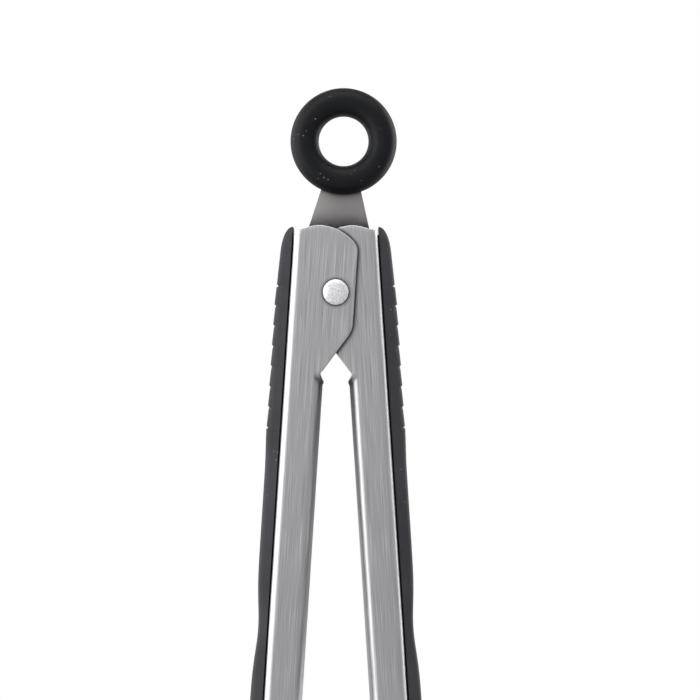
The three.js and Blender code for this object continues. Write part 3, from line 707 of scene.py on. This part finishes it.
def ear_rows(arm, top_depth, first, rows):
    """Rows of half sections over the ear: first is the row at the lips' start, the last is the top."""
    web, bend = mm(arm, "web"), mm(arm, "bend")
    side, top = ear_edges(arm)
    bend_x = -web + bend
    flange = HALF_COLUMNS - WEB_STEPS - BEND_STEPS
    right = even_points(side, rows)
    crown = [p for p in top if p[0] >= bend_x]
    corner = [p for p in top if p[0] < bend_x]
    joint = (bend_x, mix(crown[-1][1], corner[0][1], (crown[-1][0] - bend_x) / (crown[-1][0] - corner[0][0])))
    upper = even_points(([joint] + crown[::-1]), flange)
    low_z = mm(arm, "lip_top")
    result = []
    for j in range(rows):
        v = j / (rows - 1)
        row = []
        for i, (x, y) in enumerate(first[:WEB_STEPS + BEND_STEPS]):
            over = (x + web) / bend
            top_z = mix(EAR_CORNER, joint[1], smooth(over))
            row.append((x, y, mix(low_z, top_z, v)))
        left = (bend_x, mix(low_z, joint[1], v))
        for i in range(flange):
            u = i / (flange - 1)
            base = (first[WEB_STEPS + BEND_STEPS + i][0], low_z)
            point = [mix(base[c], upper[i][c], v) + mix(left[c], right[j][c], u)
                     - mix(mix((bend_x, low_z)[c], right[0][c], u), mix(joint[c], upper[-1][c], u), v)
                     for c in (0, 1)]
            row.append((point[0], top_depth / 2, point[1]))
        result.append(row)
    return result


def arm_surface(arm, top_depth):
    """Rows of points over the outside of one arm, from the ears' top to the tip of the scoop."""
    lip, neck = mm(arm, "lip_top"), mm(arm, "neck_height")
    first = channel_half(arm, top_depth, lip)
    halves = ear_rows(arm, top_depth, first, EAR_ROWS)[::-1][:-1]
    heights = [lip - 0.3 * k for k in range(12)]
    heights += [mix(lip - 3.6, neck + NECK_LEAD, k / 26) for k in range(1, 26)]
    head_rows = 96
    tip = neck - mm(arm, "head_length")
    heights += [mix(neck + NECK_LEAD, tip, k / head_rows) for k in range(head_rows + 1)]
    for z in heights:
        channel = channel_half(arm, top_depth, z)
        share = min(1.0, max(0.0, (neck - z) / mm(arm, "head_length")))
        scoop = scoop_half(arm, share, len(channel))
        blend = smooth((neck + NECK_LEAD - z) / NECK_BLEND)
        halves.append([(mix(a[0], b[0], blend), mix(a[1], b[1], blend), z) for a, b in zip(channel, scoop)])
    return [[(x, -y, z) for x, y, z in row[:0:-1]] + row for row in halves]


def shade_lips(piece, rows, lip, reach):
    """Marks the rolled lips for painted shade, most where they start, for the steel to darken there."""
    values = []
    for row in rows:
        for column, (_, _, z) in enumerate(row):
            below = lip - z
            near = 1 - smooth(min(column, len(row) - 1 - column) / 9)
            down = smooth((below + 0.6) / 1.0) * mix(1.0, 0.45, smooth(below / 6))
            values.append(near * down * (1 - smooth((below - reach) / 30)))
    marks = piece.data.attributes.new("lip_stain", "FLOAT", "POINT")
    marks.data.foreach_set("value", values)


def lay_grain(piece, rows, web):
    """Gives each point its place on the flat sheet, so that the grain follows the tapering arm."""
    places = []
    for row in rows:
        half = max(abs(y) for _, y, _ in row) or 1.0
        for x, y, z in row:
            places += [(x + web + 10.5 * abs(y) / half) * MM, 0.0, z * MM]
    marks = piece.data.attributes.new("sheet_place", "FLOAT_VECTOR", "POINT")
    marks.data.foreach_set("vector", places)


def build_arm(name, top_depth, turn, mirror, material, node):
    """One arm: the folded sheet with its wall, its holes and softened edges."""
    arm = bpy.context.scene.tongs_arm
    grip = bpy.context.scene.tongs_grip
    pivot = bpy.context.scene.tongs_pivot
    rows = arm_surface(arm, top_depth)
    points = [p for row in rows for p in row]
    piece = mesh_from(name, points, grid_faces(len(rows), len(rows[0])))
    # painted shade on the lips: along the whole lip of the outer arm, only near the start on the inner arm
    shade_lips(piece, rows, mm(arm, "lip_top"), 4 if mirror else 60)
    lay_grain(piece, rows, mm(arm, "web"))
    wall = piece.modifiers.new("wall", "SOLIDIFY")
    wall.thickness = arm.sheet
    wall.offset = -1.0
    wall.use_even_offset = False
    rivet_hole = mm(pivot, "shank") + CLEARANCE
    cutters = [hole_cutter("rivet_hole", (0, 0, 0), (0, 1, 0), rivet_hole, 2 * top_depth)]
    for drop in STUD_DROPS:
        place = (-mm(arm, "web"), 0, mm(grip, "top") - drop)
        cutters.append(hole_cutter("stud_hole", place, (1, 0, 0), STUD_HOLE, 6))
    for cutter in cutters:
        cut = piece.modifiers.new("hole", "BOOLEAN")
        cut.operation = "DIFFERENCE"
        cut.solver = "EXACT"
        cut.object = cutter
    soft = piece.modifiers.new("edge", "BEVEL")
    soft.width = 0.16 * MM
    soft.segments = 2
    soft.limit_method = "ANGLE"
    soft.angle_limit = math.radians(50)
    piece = settle(piece, turn, mirror)
    for cutter in cutters:
        bpy.data.objects.remove(cutter)
    return finish_piece(piece, node, "brushed_steel", material, node)


def hole_cutter(name, place, axis, radius, depth):
    """A round cutter, in millimetres."""
    mesh = bpy.data.meshes.new(name)
    work = bmesh.new()
    bmesh.ops.create_cone(work, cap_ends=True, segments=40, radius1=radius * MM, radius2=radius * MM,
                          depth=depth * MM)
    work.to_mesh(mesh)
    work.free()
    mesh.transform(Matrix.Translation(Vector(place) * MM)
                   @ Vector((0, 0, 1)).rotation_difference(Vector(axis)).to_matrix().to_4x4())
    return new_object(name, mesh)


# ------------------------------------------------------------------ the grips
END_ROUND = 7.0         # length of the rounded ends, seen from the side
END_NARROW = 0.72       # share of its width left at the ends
END_LENGTH = 5.0        # length over which the ends narrow
WAIST_HEIGHT = -91.0    # middle of the waist
WAIST_DEPTH = 0.95
TOP_THIN = 0.45         # how much thinner the upper end is
RIB_ZONE_RISE = 0.35    # how much prouder the grip is along its ribs
SECTION_STEPS = 40      # steps round the outside of a grip's section


def grip_height(grip, drop, ribbed=True):
    """Height of the grip over the steel at a distance below its top."""
    top, run = mm(grip, "top"), mm(grip, "run")
    left = min(drop, run - drop, END_ROUND)
    end = math.sqrt(max(0.0, 1 - ((END_ROUND - left) / END_ROUND) ** 2))
    waist = WAIST_DEPTH * math.exp(-((top - drop - WAIST_HEIGHT) / 9) ** 2)
    thin = TOP_THIN * (1 - smooth((drop - 4) / 14))
    zone = RIB_ZONE_RISE * smooth((drop - 14) / 10) * (1 - smooth((drop - 52) / 14))
    least = mm(grip, "base") + 0.12
    height = least + (mm(grip, "thick") - least - thin + zone - waist) * end
    if ribbed:
        first = mm(grip, "top") - mm(grip, "rib_top") - mm(grip, "groove") / 2
        last = first + (grip.ribs - 1) * mm(grip, "rib_pitch") + mm(grip, "groove")
        inside = smooth((drop - first) / 0.25 + 0.5) * smooth((last - drop) / 0.25 + 0.5)
        height -= mm(grip, "groove_depth") * inside
    return height


def grip_half_width(arm, grip, top_depth, drop):
    """Half the width of the grip at a distance below its top."""
    half = channel_depth(arm, top_depth, mm(grip, "top") - drop) / 2 - mm(grip, "margin")
    left = min(drop, mm(grip, "run") - drop)
    short = (END_LENGTH - min(left, END_LENGTH)) / END_LENGTH
    return half * mix(END_NARROW, 1.0, math.sqrt(max(0.0, 1 - short ** 2)))


def grip_section(base, tall, half):
    """A closed rounded section standing on the backing: points of (x, y)."""
    points = []
    for k in range(SECTION_STEPS + 1):
        a = -math.pi / 2 + math.pi * k / SECTION_STEPS
        rise = max(0.0, math.cos(a)) ** 0.25
        points.append((-(base + (tall - base) * rise), half * power(math.sin(a), 0.3) * (1 - 0.11 * rise)))
    for k in range(1, 4):
        points.append((-base, half * (1 - k / 2)))
    return points


def grip_drops(grip):
    """Distances below the top where the skin has a row of points."""
    run = mm(grip, "run")
    end = [0.0, 0.05, 0.2, 0.45, 0.8, 1.25, 1.8, 2.5, 3.4, 4.5, 5.7, END_ROUND]
    first = mm(grip, "top") - mm(grip, "rib_top")
    span = (grip.ribs - 1) * mm(grip, "rib_pitch")
    half = mm(grip, "groove") / 2
    edges = [first - half - 0.3 + 0.1 * k for k in range(7)]
    edges += [first + span + half - 0.3 + 0.1 * k for k in range(7)]
    plain = [8.4 + 1.5 * k for k in range(int((run - 16.8) / 1.5) + 1)]
    drops = end + edges + [d for d in plain if all(abs(d - e) > 0.5 for e in edges)]
    return sorted(set(drops)) + [run - d for d in end[::-1]]


def close_ends(points, rows):
    """The faces of a tube of rows of points, with both of its ends closed."""
    count = len(points) // rows
    faces = grid_faces(rows, count, loop=True)
    faces.append(tuple(range(count)))
    faces.append(tuple(range(len(points) - 1, len(points) - count - 1, -1)))
    return faces


def build_grip(name, top_depth, turn, mirror, material, node, body):
    """The soft skin, its floor lowered where the ribs stand."""
    arm = bpy.context.scene.tongs_arm
    grip = bpy.context.scene.tongs_grip
    web = mm(arm, "web")
    points = []
    drops = grip_drops(grip)
    for drop in drops:
        half = grip_half_width(arm, grip, top_depth, drop)
        section = grip_section(mm(grip, "base"), grip_height(grip, drop), half)
        points += [(x - web, y, mm(grip, "top") - drop) for x, y in section]
    piece = mesh_from(name, points, close_ends(points, len(drops)))
    return finish_piece(settle(piece, turn, mirror, math.radians(60)), body, "grip_rubber", material, node)


def build_shade_rails(name, top_depth, turn, mirror, material, body):
    """Two thin black rails along the backing's sides, which close the slit between the skin and the steel and
    stand in for the shade in it.
    """
    arm = bpy.context.scene.tongs_arm
    grip = bpy.context.scene.tongs_grip
    web = mm(arm, "web")
    run = mm(grip, "run")
    near, far = web + 0.02, web + 0.28
    inset, count = 2.2, 25
    drops = [mix(inset, run - inset, k / (count - 1)) for k in range(count)]
    points, faces = [], []
    for side in (-1, 1):
        start = len(points)
        for drop in drops:
            half = grip_half_width(arm, grip, top_depth, drop)
            inner, outer = side * (half - 1.6), side * (half - 0.9)
            z = mm(grip, "top") - drop
            points += [(-near, inner, z), (-near, outer, z), (-far, outer, z), (-far, inner, z)]
        faces += [tuple(start + i for i in face) for face in grid_faces(count, 4, loop=True)]
        faces += [(start, start + 1, start + 2, start + 3)]
        faces += [tuple(len(points) - 1 - i for i in range(4))]
    piece = mesh_from(name, points, faces)
    return finish_piece(settle(piece, turn, mirror), body, "grip_core", material)


def geometry_group(name, inputs, output):
    """A new geometry node tree that ends with real geometry in the material of its input."""
    tree = bpy.data.node_groups.new(name, "GeometryNodeTree")
    for label, kind in (*inputs, ("Material", "Material")):
        tree.interface.new_socket(name=label, in_out="INPUT", socket_type="NodeSocket" + kind)
    tree.interface.new_socket(name=output, in_out="OUTPUT", socket_type="NodeSocketGeometry")
    source = tree.nodes.new("NodeGroupInput")
    real = tree.nodes.new("GeometryNodeRealizeInstances")
    paint = tree.nodes.new("GeometryNodeSetMaterial")
    sink = tree.nodes.new("NodeGroupOutput")
    tree.links.new(real.outputs["Geometry"], paint.inputs["Geometry"])
    tree.links.new(source.outputs["Material"], paint.inputs["Material"])
    tree.links.new(paint.outputs["Geometry"], sink.inputs[output])
    return tree, source, real


def rib_tree():
    """Geometry nodes that repeat one rib along a line."""
    tree, source, real = geometry_group(
        "rib_row", [("Rib", "Geometry"), ("Count", "Int"), ("Step", "Vector")], "Ribs")
    line = tree.nodes.new("GeometryNodeMeshLine")
    place = tree.nodes.new("GeometryNodeInstanceOnPoints")
    tree.links.new(source.outputs["Count"], line.inputs["Count"])
    tree.links.new(source.outputs["Step"], line.inputs["Offset"])
    tree.links.new(line.outputs["Mesh"], place.inputs["Points"])
    tree.links.new(source.outputs["Rib"], place.inputs["Instance"])
    tree.links.new(place.outputs["Instances"], real.inputs["Geometry"])
    return tree


def wire_tree():
    """Geometry nodes that give a path a round section."""
    tree, source, real = geometry_group(
        "round_wire", [("Path", "Geometry"), ("Radius", "Float"), ("Sides", "Int")], "Wire")
    ring = tree.nodes.new("GeometryNodeCurvePrimitiveCircle")
    sweep = tree.nodes.new("GeometryNodeCurveToMesh")
    sweep.inputs["Fill Caps"].default_value = True
    tree.links.new(source.outputs["Sides"], ring.inputs["Resolution"])
    tree.links.new(source.outputs["Radius"], ring.inputs["Radius"])
    tree.links.new(source.outputs["Path"], sweep.inputs["Curve"])
    tree.links.new(ring.outputs["Curve"], sweep.inputs["Profile Curve"])
    tree.links.new(sweep.outputs["Mesh"], real.inputs["Geometry"])
    return tree


def geometry_tree(name):
    """One of the two geometry node trees, built once."""
    if name not in bpy.data.node_groups:
        return {"rib_row": rib_tree, "round_wire": wire_tree}[name]()
    return bpy.data.node_groups[name]


def add_tree(piece, name, **values):
    """Puts a geometry node tree on a piece, with its inputs by their shown names."""
    tree = geometry_tree(name)
    modifier = piece.modifiers.new(name, "NODES")
    modifier.node_group = tree
    for item in tree.interface.items_tree:
        if item.in_out == "INPUT" and item.name in values:
            modifier[item.identifier] = values[item.name]
    return piece


def build_ribs(name, top_depth, turn, mirror, material, body):
    """The raised ribs of one grip: one rib, repeated along the arm."""
    arm = bpy.context.scene.tongs_arm
    grip = bpy.context.scene.tongs_grip
    pitch, groove = mm(grip, "rib_pitch"), mm(grip, "groove")
    start = mm(grip, "top") - mm(grip, "rib_top") + groove / 2
    run = pitch - groove
    rows = [(0.0, 0.6), (0.0, 0.22), (0.06, 0.08), (0.22, 0.0), (0.7, 0.0), (1.6, 0.0)]
    rows += [(run - d, fall) for d, fall in rows[::-1]]
    points = []
    for d, fall in rows:
        drop = start + d
        tall = grip_height(grip, drop, ribbed=False) - fall
        half = grip_half_width(arm, grip, top_depth, drop) + 0.02 - 0.35 * fall
        section = grip_section(mm(grip, "base") + 0.6, tall, half - 0.3)
        points += [(x - mm(arm, "web"), y, mm(grip, "top") - drop) for x, y in section]
    piece = mesh_from(name, points, close_ends(points, len(rows)))
    add_tree(piece, "rib_row", Count=grip.ribs - 1, Step=(0.0, 0.0, -grip.rib_pitch), Material=material)
    return finish_piece(settle(piece, turn, mirror, math.radians(60)), body, "grip_rubber", material)


# ------------------------------------------------------------------ sizes inside the pivot and the tab
TAB_SHOULDER = 15.6     # height where the neck of the tab starts to narrow
TAB_NECK = 28.8         # height where it has narrowed
TAB_END = -15.6         # lower end of the tab
TAB_TAPER = -6.0        # height where it narrows downwards
EYE_INNER, EYE_OUTER = 8.3, 12.4
SLOT_HALF = 3.5         # half the width of the slot
SLOT_LOW, SLOT_HIGH = -9.0, 0.1
RIVET_RIM = 0.35        # straight edge of a rivet head
BUSH_START = 1.05       # from the middle plane to a bush
BUSH_FLANGE_END = 1.85  # and to the far side of its flange
BUSH_FLANGE = 5.6       # radius of the flange


# ------------------------------------------------------------------ the operators
class TONGS_OT_arms(bpy.types.Operator):
    """Build the two steel arms with their heads"""
    bl_idname = "tongs.arms"
    bl_label = "Arms"

    def execute(self, context):
        arm = context.scene.tongs_arm
        steel = tuple(context.scene.tongs_stage.steel)
        for side, (name, depth) in enumerate((("outer_arm", "outer_depth"), ("inner_arm", "inner_depth"))):
            turn = arm.open_angle * (1 - 2 * side)
            finish = brushed_steel(name + "_steel", steel, -turn)
            build_arm(name + "_shell", mm(arm, depth), turn, bool(side), finish, name)
        return {"FINISHED"}


class TONGS_OT_grips(bpy.types.Operator):
    """Build the soft grips and their ribs, and finish the hard strips under them"""
    bl_idname = "tongs.grips"
    bl_label = "Grips"

    def execute(self, context):
        arm = context.scene.tongs_arm
        rubber = moulded("grip_rubber", tuple(context.scene.tongs_grip.colour), 0.62, 3400.0, 0.03, 0.5)
        plastic = moulded("core_plastic", (0.006, 0.006, 0.007), 0.5, 2200.0, 0.015, 0.0)
        for side, (body, depth) in enumerate((("outer_arm", "outer_depth"), ("inner_arm", "inner_depth"))):
            turn = arm.open_angle * (1 - 2 * side)
            kind = body.split("_")[0]
            build_grip(f"{kind}_grip", mm(arm, depth), turn, bool(side), rubber, f"{kind}_grip_skin", body)
            build_ribs(f"{kind}_grip_ribs", mm(arm, depth), turn, bool(side), rubber, body)
            # black rails close the slit and stand in for the shade in it
            build_shade_rails(f"{kind}_grip_seal", mm(arm, depth), turn, bool(side), plastic, body)
            core = frame["nodes"][f"{kind}_grip_core"]
            core.data.materials.clear()
            core.data.materials.append(plastic)
        return {"FINISHED"}


class TONGS_OT_tab(bpy.types.Operator):
    """Build the sliding lock tab"""
    bl_idname = "tongs.tab"
    bl_label = "Lock Tab"

    def execute(self, context):
        tab = context.scene.tongs_tab
        wide, neck, ring = mm(tab, "half_width"), mm(tab, "neck"), mm(tab, "ring_centre")
        half = [(0, TAB_END), (3.4, TAB_END)] + rounded_corner((3.6, TAB_END + 2.5), 2.5, -80, -12, 6)
        half += [(wide, TAB_TAPER), (wide, TAB_SHOULDER), (neck, TAB_NECK)]
        reach = math.asin(neck / EYE_OUTER)
        for k in range(29):
            a = mix(math.pi - reach, 0, k / 28)
            half.append((EYE_OUTER * math.sin(a), ring + EYE_OUTER * math.cos(a)))
        outline = half + [(-x, z) for x, z in half[-2:0:-1]]
        curve = bpy.data.curves.new("lock_tab_plate", "CURVE")
        curve.dimensions = "2D"
        curve.fill_mode = "BOTH"
        rim = 0.12
        curve.extrude = tab.thick / 2 - rim * MM
        curve.bevel_depth = rim * MM
        curve.offset = -rim * MM
        curve.bevel_resolution = 2
        slot = rounded_corner((0, SLOT_HIGH), SLOT_HALF, 0, 180, 20)
        slot += rounded_corner((0, SLOT_LOW), SLOT_HALF, 180, 360, 20)
        hole = rounded_corner((0, ring), EYE_INNER, 0, 354, 59)
        for points in (outline, slot, hole):
            spline = curve.splines.new("POLY")
            spline.points.add(len(points) - 1)
            for point, (x, z) in zip(spline.points, points):
                point.co = (x * MM, z * MM, 0, 1)
            spline.use_cyclic_u = True
        piece = new_object("lock_tab_plate", curve)
        piece = settle(piece)
        piece.data.transform(Matrix.Rotation(tab.lean, 4, "Y") @ Matrix.Rotation(math.pi / 2, 4, "X"))
        material = blasted_steel("tab_steel", tuple(tab.plate_colour))
        finish_piece(piece, "lock_tab", "tab_steel", material, "lock_tab")
        return {"FINISHED"}


class TONGS_OT_ring(bpy.types.Operator):
    """Build the rubber hanging ring"""
    bl_idname = "tongs.ring"
    bl_label = "Hanging Ring"

    def execute(self, context):
        tab = context.scene.tongs_tab
        hole, outer, thick = mm(tab, "ring_hole"), mm(tab, "ring_outer"), mm(tab, "ring_thick")
        middle, radial = (hole + outer) / 2, (outer - hole) / 2
        profile = []
        steps = 48
        for k in range(steps):
            a = 2 * math.pi * k / steps
            profile.append((middle + radial * power(math.cos(a), 0.85), thick / 2 * power(math.sin(a), 0.85)))
        piece = turned_profile("rubber_ring", profile, 128, (0.0, mm(tab, "ring_centre")))
        rubber = moulded("ring_rubber", tuple(tab.ring_colour), 0.5, 3000.0, 0.03, 0.6)
        finish_piece(settle(piece, tab.lean), "lock_tab", "ring_rubber", rubber, "hanging_ring")
        return {"FINISHED"}


class TONGS_OT_pivot(bpy.types.Operator):
    """Build the rivet, its sleeve and the two nylon bushes"""
    bl_idname = "tongs.pivot"
    bl_label = "Pivot"

    def execute(self, context):
        arm, pivot = context.scene.tongs_arm, context.scene.tongs_pivot
        seat = mm(arm, "outer_depth") / 2 + CLEARANCE
        head, rise, shank, wall = (mm(pivot, key) for key in ("head", "head_rise", "shank", "wall"))
        dome = rise - RIVET_RIM
        half = [(0.0, seat + rise)]
        for k in range(1, 13):
            a = math.pi / 2 * k / 12
            half.append((head * math.sin(a) ** 0.9, seat + RIVET_RIM + dome * math.cos(a) ** 0.9))
        half += [(head, seat + 0.12), (head - 0.12, seat), (shank, seat)]
        profile = half + [(r, -y) for r, y in half[::-1]]
        rivet = settle(turned_profile("dome_rivet", profile, 64, closed=False))
        metal = satin_metal("rivet_metal", (0.92, 0.92, 0.96), 0.46, 0.8, metallic=0.55)
        finish_piece(rivet, "pivot", "rivet_metal", metal, "pivot_rivet")
        inner = shank + CLEARANCE
        outer = inner + wall
        span = mm(arm, "inner_depth") / 2 - mm(arm, "sheet") - CLEARANCE
        tube = [(inner, -span), (outer - 0.15, -span), (outer, 0.15 - span), (outer, span - 0.15),
                (outer - 0.15, span), (inner, span)]
        sleeve = settle(turned_profile("spacer_sleeve", tube, 64))
        steel = satin_metal("sleeve_steel", (0.55, 0.55, 0.55), 0.34)
        finish_piece(sleeve, "tab_guide", "spring_steel", steel, "pivot_sleeve")
        nylon = moulded("bush_nylon", (0.70, 0.68, 0.62), 0.42, 1200.0, 0.02, 0.0)
        bore, rim = outer + CLEARANCE, BUSH_FLANGE
        for sign, name in ((-1, "front"), (1, "back")):
            shape = [(bore, BUSH_START), (rim - 0.25, BUSH_START), (rim, BUSH_START + 0.25),
                     (rim, BUSH_FLANGE_END - 0.2), (rim - 0.2, BUSH_FLANGE_END),
                     (bore + wall, BUSH_FLANGE_END), (bore + wall, span), (bore, span)]
            bush = turned_profile(f"{name}_bush", [(r, sign * y) for r, y in shape], 64)
            finish_piece(settle(bush), "tab_guide", "nylon", nylon, f"{name}_spring_bush")
        return {"FINISHED"}


class TONGS_OT_spring(bpy.types.Operator):
    """Build the double torsion spring: two coils, a bridge on one web and two legs on the other"""
    bl_idname = "tongs.spring"
    bl_label = "Torsion Spring"

    def execute(self, context):
        arm, pivot = context.scene.tongs_arm, context.scene.tongs_pivot
        wire = mm(pivot, "wire")
        radius = mm(pivot, "shank") + 2 * mm(pivot, "wall") + 2 * CLEARANCE + 0.4 + wire / 2
        start = BUSH_FLANGE_END + CLEARANCE + wire / 2
        end = mm(arm, "inner_depth") / 2 - mm(arm, "sheet") - CLEARANCE - wire / 2
        low = mm(pivot, "leg_height")
        bear = mm(arm, "web") - mm(arm, "sheet") - wire / 2 - 0.15
        leg_x = bear * math.cos(arm.open_angle) - low * math.sin(arm.open_angle)
        touch = math.atan2(low, leg_x) + math.acos(radius / math.hypot(leg_x, low))
        total = pivot.turns * 2 * math.pi + math.pi - 2 * touch
        steel = satin_metal("spring_steel", (0.52, 0.52, 0.53), 0.30, 0.15)
        steps = pivot.turns * 40
        for sign, name in ((-1, "front"), (1, "back")):
            coil = []
            for k in range(steps + 1):
                t = k / steps
                a = math.pi - touch - t * total
                coil.append((radius * math.cos(a), sign * mix(start, end, t), radius * math.sin(a)))
            self.wire_piece(f"{name}_coil", coil, wire, steel, "pivot", "torsion_spring")
            leaving = (radius * math.cos(touch), sign * end, radius * math.sin(touch))
            foot = (leg_x, sign * end, low)
            self.wire_piece(f"{name}_leg", [leaving, foot], wire, steel, "inner_arm", "torsion_spring")
        arriving = (-radius * math.cos(touch), start, radius * math.sin(touch))
        bend = 1.6
        side = [arriving]
        for k in range(9):
            a = math.pi / 2 * k / 8
            lean = bend * (1 - math.sin(a))
            toward = Vector(arriving) - Vector((-leg_x, start, low))
            along = toward.normalized() * lean
            side.append((-leg_x + along.x, start - bend * (1 - math.cos(a)), low + along.z))
        bridge = side + [(x, -y, z) for x, y, z in side[::-1]]
        self.wire_piece("bridge", bridge, wire, steel, "outer_arm", "torsion_spring")
        return {"FINISHED"}

    def wire_piece(self, name, points, wire, material, body, node):
        """One stretch of the wire as a swept piece."""
        curve = bpy.data.curves.new("spring_" + name, "CURVE")
        curve.dimensions = "3D"
        spline = curve.splines.new("POLY")
        spline.points.add(len(points) - 1)
        for point, place in zip(spline.points, points):
            point.co = (*(c * MM for c in place), 1)
        piece = new_object("spring_" + name, curve)
        add_tree(piece, "round_wire", Radius=wire / 2 * MM, Sides=20, Material=material)
        finish_piece(settle(piece, sharp=math.radians(50)), body, "spring_steel", material, node)


class TONGS_OT_stage(bpy.types.Operator):
    """Lay the pale floor, set the soft studio light and place the camera"""
    bl_idname = "tongs.stage"
    bl_label = "Stage"

    def execute(self, context):
        stage = context.scene.tongs_stage
        floor_mesh = bpy.data.meshes.new("floor")
        work = bmesh.new()
        bmesh.ops.create_circle(work, cap_ends=True, segments=96, radius=stage.floor_radius)
        work.to_mesh(floor_mesh)
        work.free()
        floor_mesh.transform(Matrix.Translation((0, 0, HEAD_LOW[2] - stage.floor_drop)))
        floor = new_object("floor", floor_mesh)
        floor_mesh.materials.append(self.paper(stage.floor_radius))
        floor.visible_glossy = False
        self.lights(context)
        self.world(context)
        data = bpy.data.cameras.new("camera")
        data.lens = stage.lens
        data.sensor_width = 36.0
        data.clip_start = 0.01
        camera = bpy.data.objects.new("camera", data)
        context.scene.collection.objects.link(camera)
        distance = stage.lens * stage.view_width / data.sensor_width
        camera.location = (stage.view_x, -distance, stage.view_z)
        camera.rotation_euler = (math.pi / 2, 0, 0)
        context.scene.camera = camera
        context.scene.view_settings.view_transform = "Standard"
        return {"FINISHED"}

    def paper(self, radius):
        """Pale paper that runs out into the white of the background at its rim."""
        paper = bpy.data.materials.new("pale_floor")
        paper.use_nodes = True
        tree = paper.node_tree
        shader = tree.nodes["Principled BSDF"]
        shader.inputs["Base Color"].default_value = (0.86, 0.86, 0.86, 1)
        shader.inputs["Roughness"].default_value = 0.9
        place = add_node(tree, "ShaderNodeTexCoord")
        away = add_node(tree, "ShaderNodeVectorMath", operation="LENGTH")
        flat = add_node(tree, "ShaderNodeVectorMath", operation="MULTIPLY")
        flat.inputs[1].default_value = (1, 1, 0)
        tree.links.new(place.outputs["Object"], flat.inputs[0])
        tree.links.new(flat.outputs[0], away.inputs[0])
        rim = range_node(tree, away.outputs["Value"], 0.35 * radius, 0.95 * radius)
        white = add_node(tree, "ShaderNodeEmission")
        choose = add_node(tree, "ShaderNodeMixShader")
        tree.links.new(rim, choose.inputs[0])
        tree.links.new(shader.outputs[0], choose.inputs[1])
        tree.links.new(white.outputs[0], choose.inputs[2])
        tree.links.new(choose.outputs[0], tree.nodes["Material Output"].inputs["Surface"])
        return paper

    def lights(self, context):
        """Soft panels at both sides, behind and above."""
        for name, place, size, power_w in (
                ("left_panel", (-0.80, -0.62, 0.1), (0.7, 1.2), 6.5),
                ("left_side_panel", (-0.95, 0.20, 0.1), (0.8, 1.2), 6.5),
                ("right_side_panel", (0.80, 0.36, 0.1), (0.6, 1.2), 6.0),
                ("back_panel", (0.0, 1.1, 0.2), (2.6, 1.6), 4.0),
                ("top_panel", (0.0, -0.45, 0.9), (1.2, 0.9), 6.0)):
            light = bpy.data.lights.new(name, "AREA")
            light.shape = "RECTANGLE"
            light.size, light.size_y = size
            light.energy = power_w
            lamp = bpy.data.objects.new(name, light)
            lamp.location = place
            lamp.visible_camera = False
            lamp.rotation_euler = (-Vector(place)).to_track_quat("-Z", "Y").to_euler()
            context.scene.collection.objects.link(lamp)

    def world(self, context):
        """Even grey all round for the reflections, and a white background."""
        world = bpy.data.worlds.new("studio")
        world.use_nodes = True
        tree = world.node_tree
        tree.nodes.clear()
        rays = tree.nodes.new("ShaderNodeLightPath")
        around = tree.nodes.new("ShaderNodeBackground")
        around.inputs["Color"].default_value = (0.42, 0.42, 0.43, 1)
        seen = tree.nodes.new("ShaderNodeBackground")
        seen.inputs["Color"].default_value = (1.0, 1.0, 1.0, 1)
        choose = tree.nodes.new("ShaderNodeMixShader")
        sink = tree.nodes.new("ShaderNodeOutputWorld")
        tree.links.new(rays.outputs["Is Camera Ray"], choose.inputs[0])
        tree.links.new(around.outputs[0], choose.inputs[1])
        tree.links.new(seen.outputs[0], choose.inputs[2])
        tree.links.new(choose.outputs[0], sink.inputs["Surface"])
        context.scene.world = world


OPERATORS = (TONGS_OT_stage, TONGS_OT_arms, TONGS_OT_grips, TONGS_OT_tab, TONGS_OT_ring, TONGS_OT_pivot,
             TONGS_OT_spring)


class TONGS_PT_panel(bpy.types.Panel):
    """Lists the pieces and their sizes"""
    bl_idname = "TONGS_PT_panel"
    bl_label = "Kitchen Tongs"
    bl_space_type = "VIEW_3D"
    bl_region_type = "UI"
    bl_category = "Tongs"

    def draw(self, context):
        layout = self.layout
        for operator in OPERATORS:
            layout.operator(operator.bl_idname)
        for key in SETTINGS:
            box = layout.box()
            box.label(text=key.replace("_", " ").title())
            settings = getattr(context.scene, key)
            for name in settings.bl_rna.properties.keys():
                if name not in {"rna_type", "name"}:
                    box.prop(settings, name)


CLASSES = (*SETTINGS.values(), *OPERATORS, TONGS_PT_panel)


def register():
    """Adds the classes and hangs the settings on the scene."""
    for item in CLASSES:
        bpy.utils.register_class(item)
    for key, group in SETTINGS.items():
        setattr(bpy.types.Scene, key, bpy.props.PointerProperty(type=group))


def unregister():
    """Takes the settings and the classes away again."""
    for key in SETTINGS:
        delattr(bpy.types.Scene, key)
    for item in reversed(CLASSES):
        bpy.utils.unregister_class(item)


def main():
    """Builds every piece."""
    register()
    for operator in OPERATORS:
        group, name = operator.bl_idname.split(".")
        getattr(getattr(bpy.ops, group), name)()


if __name__ == "__main__":
    main()
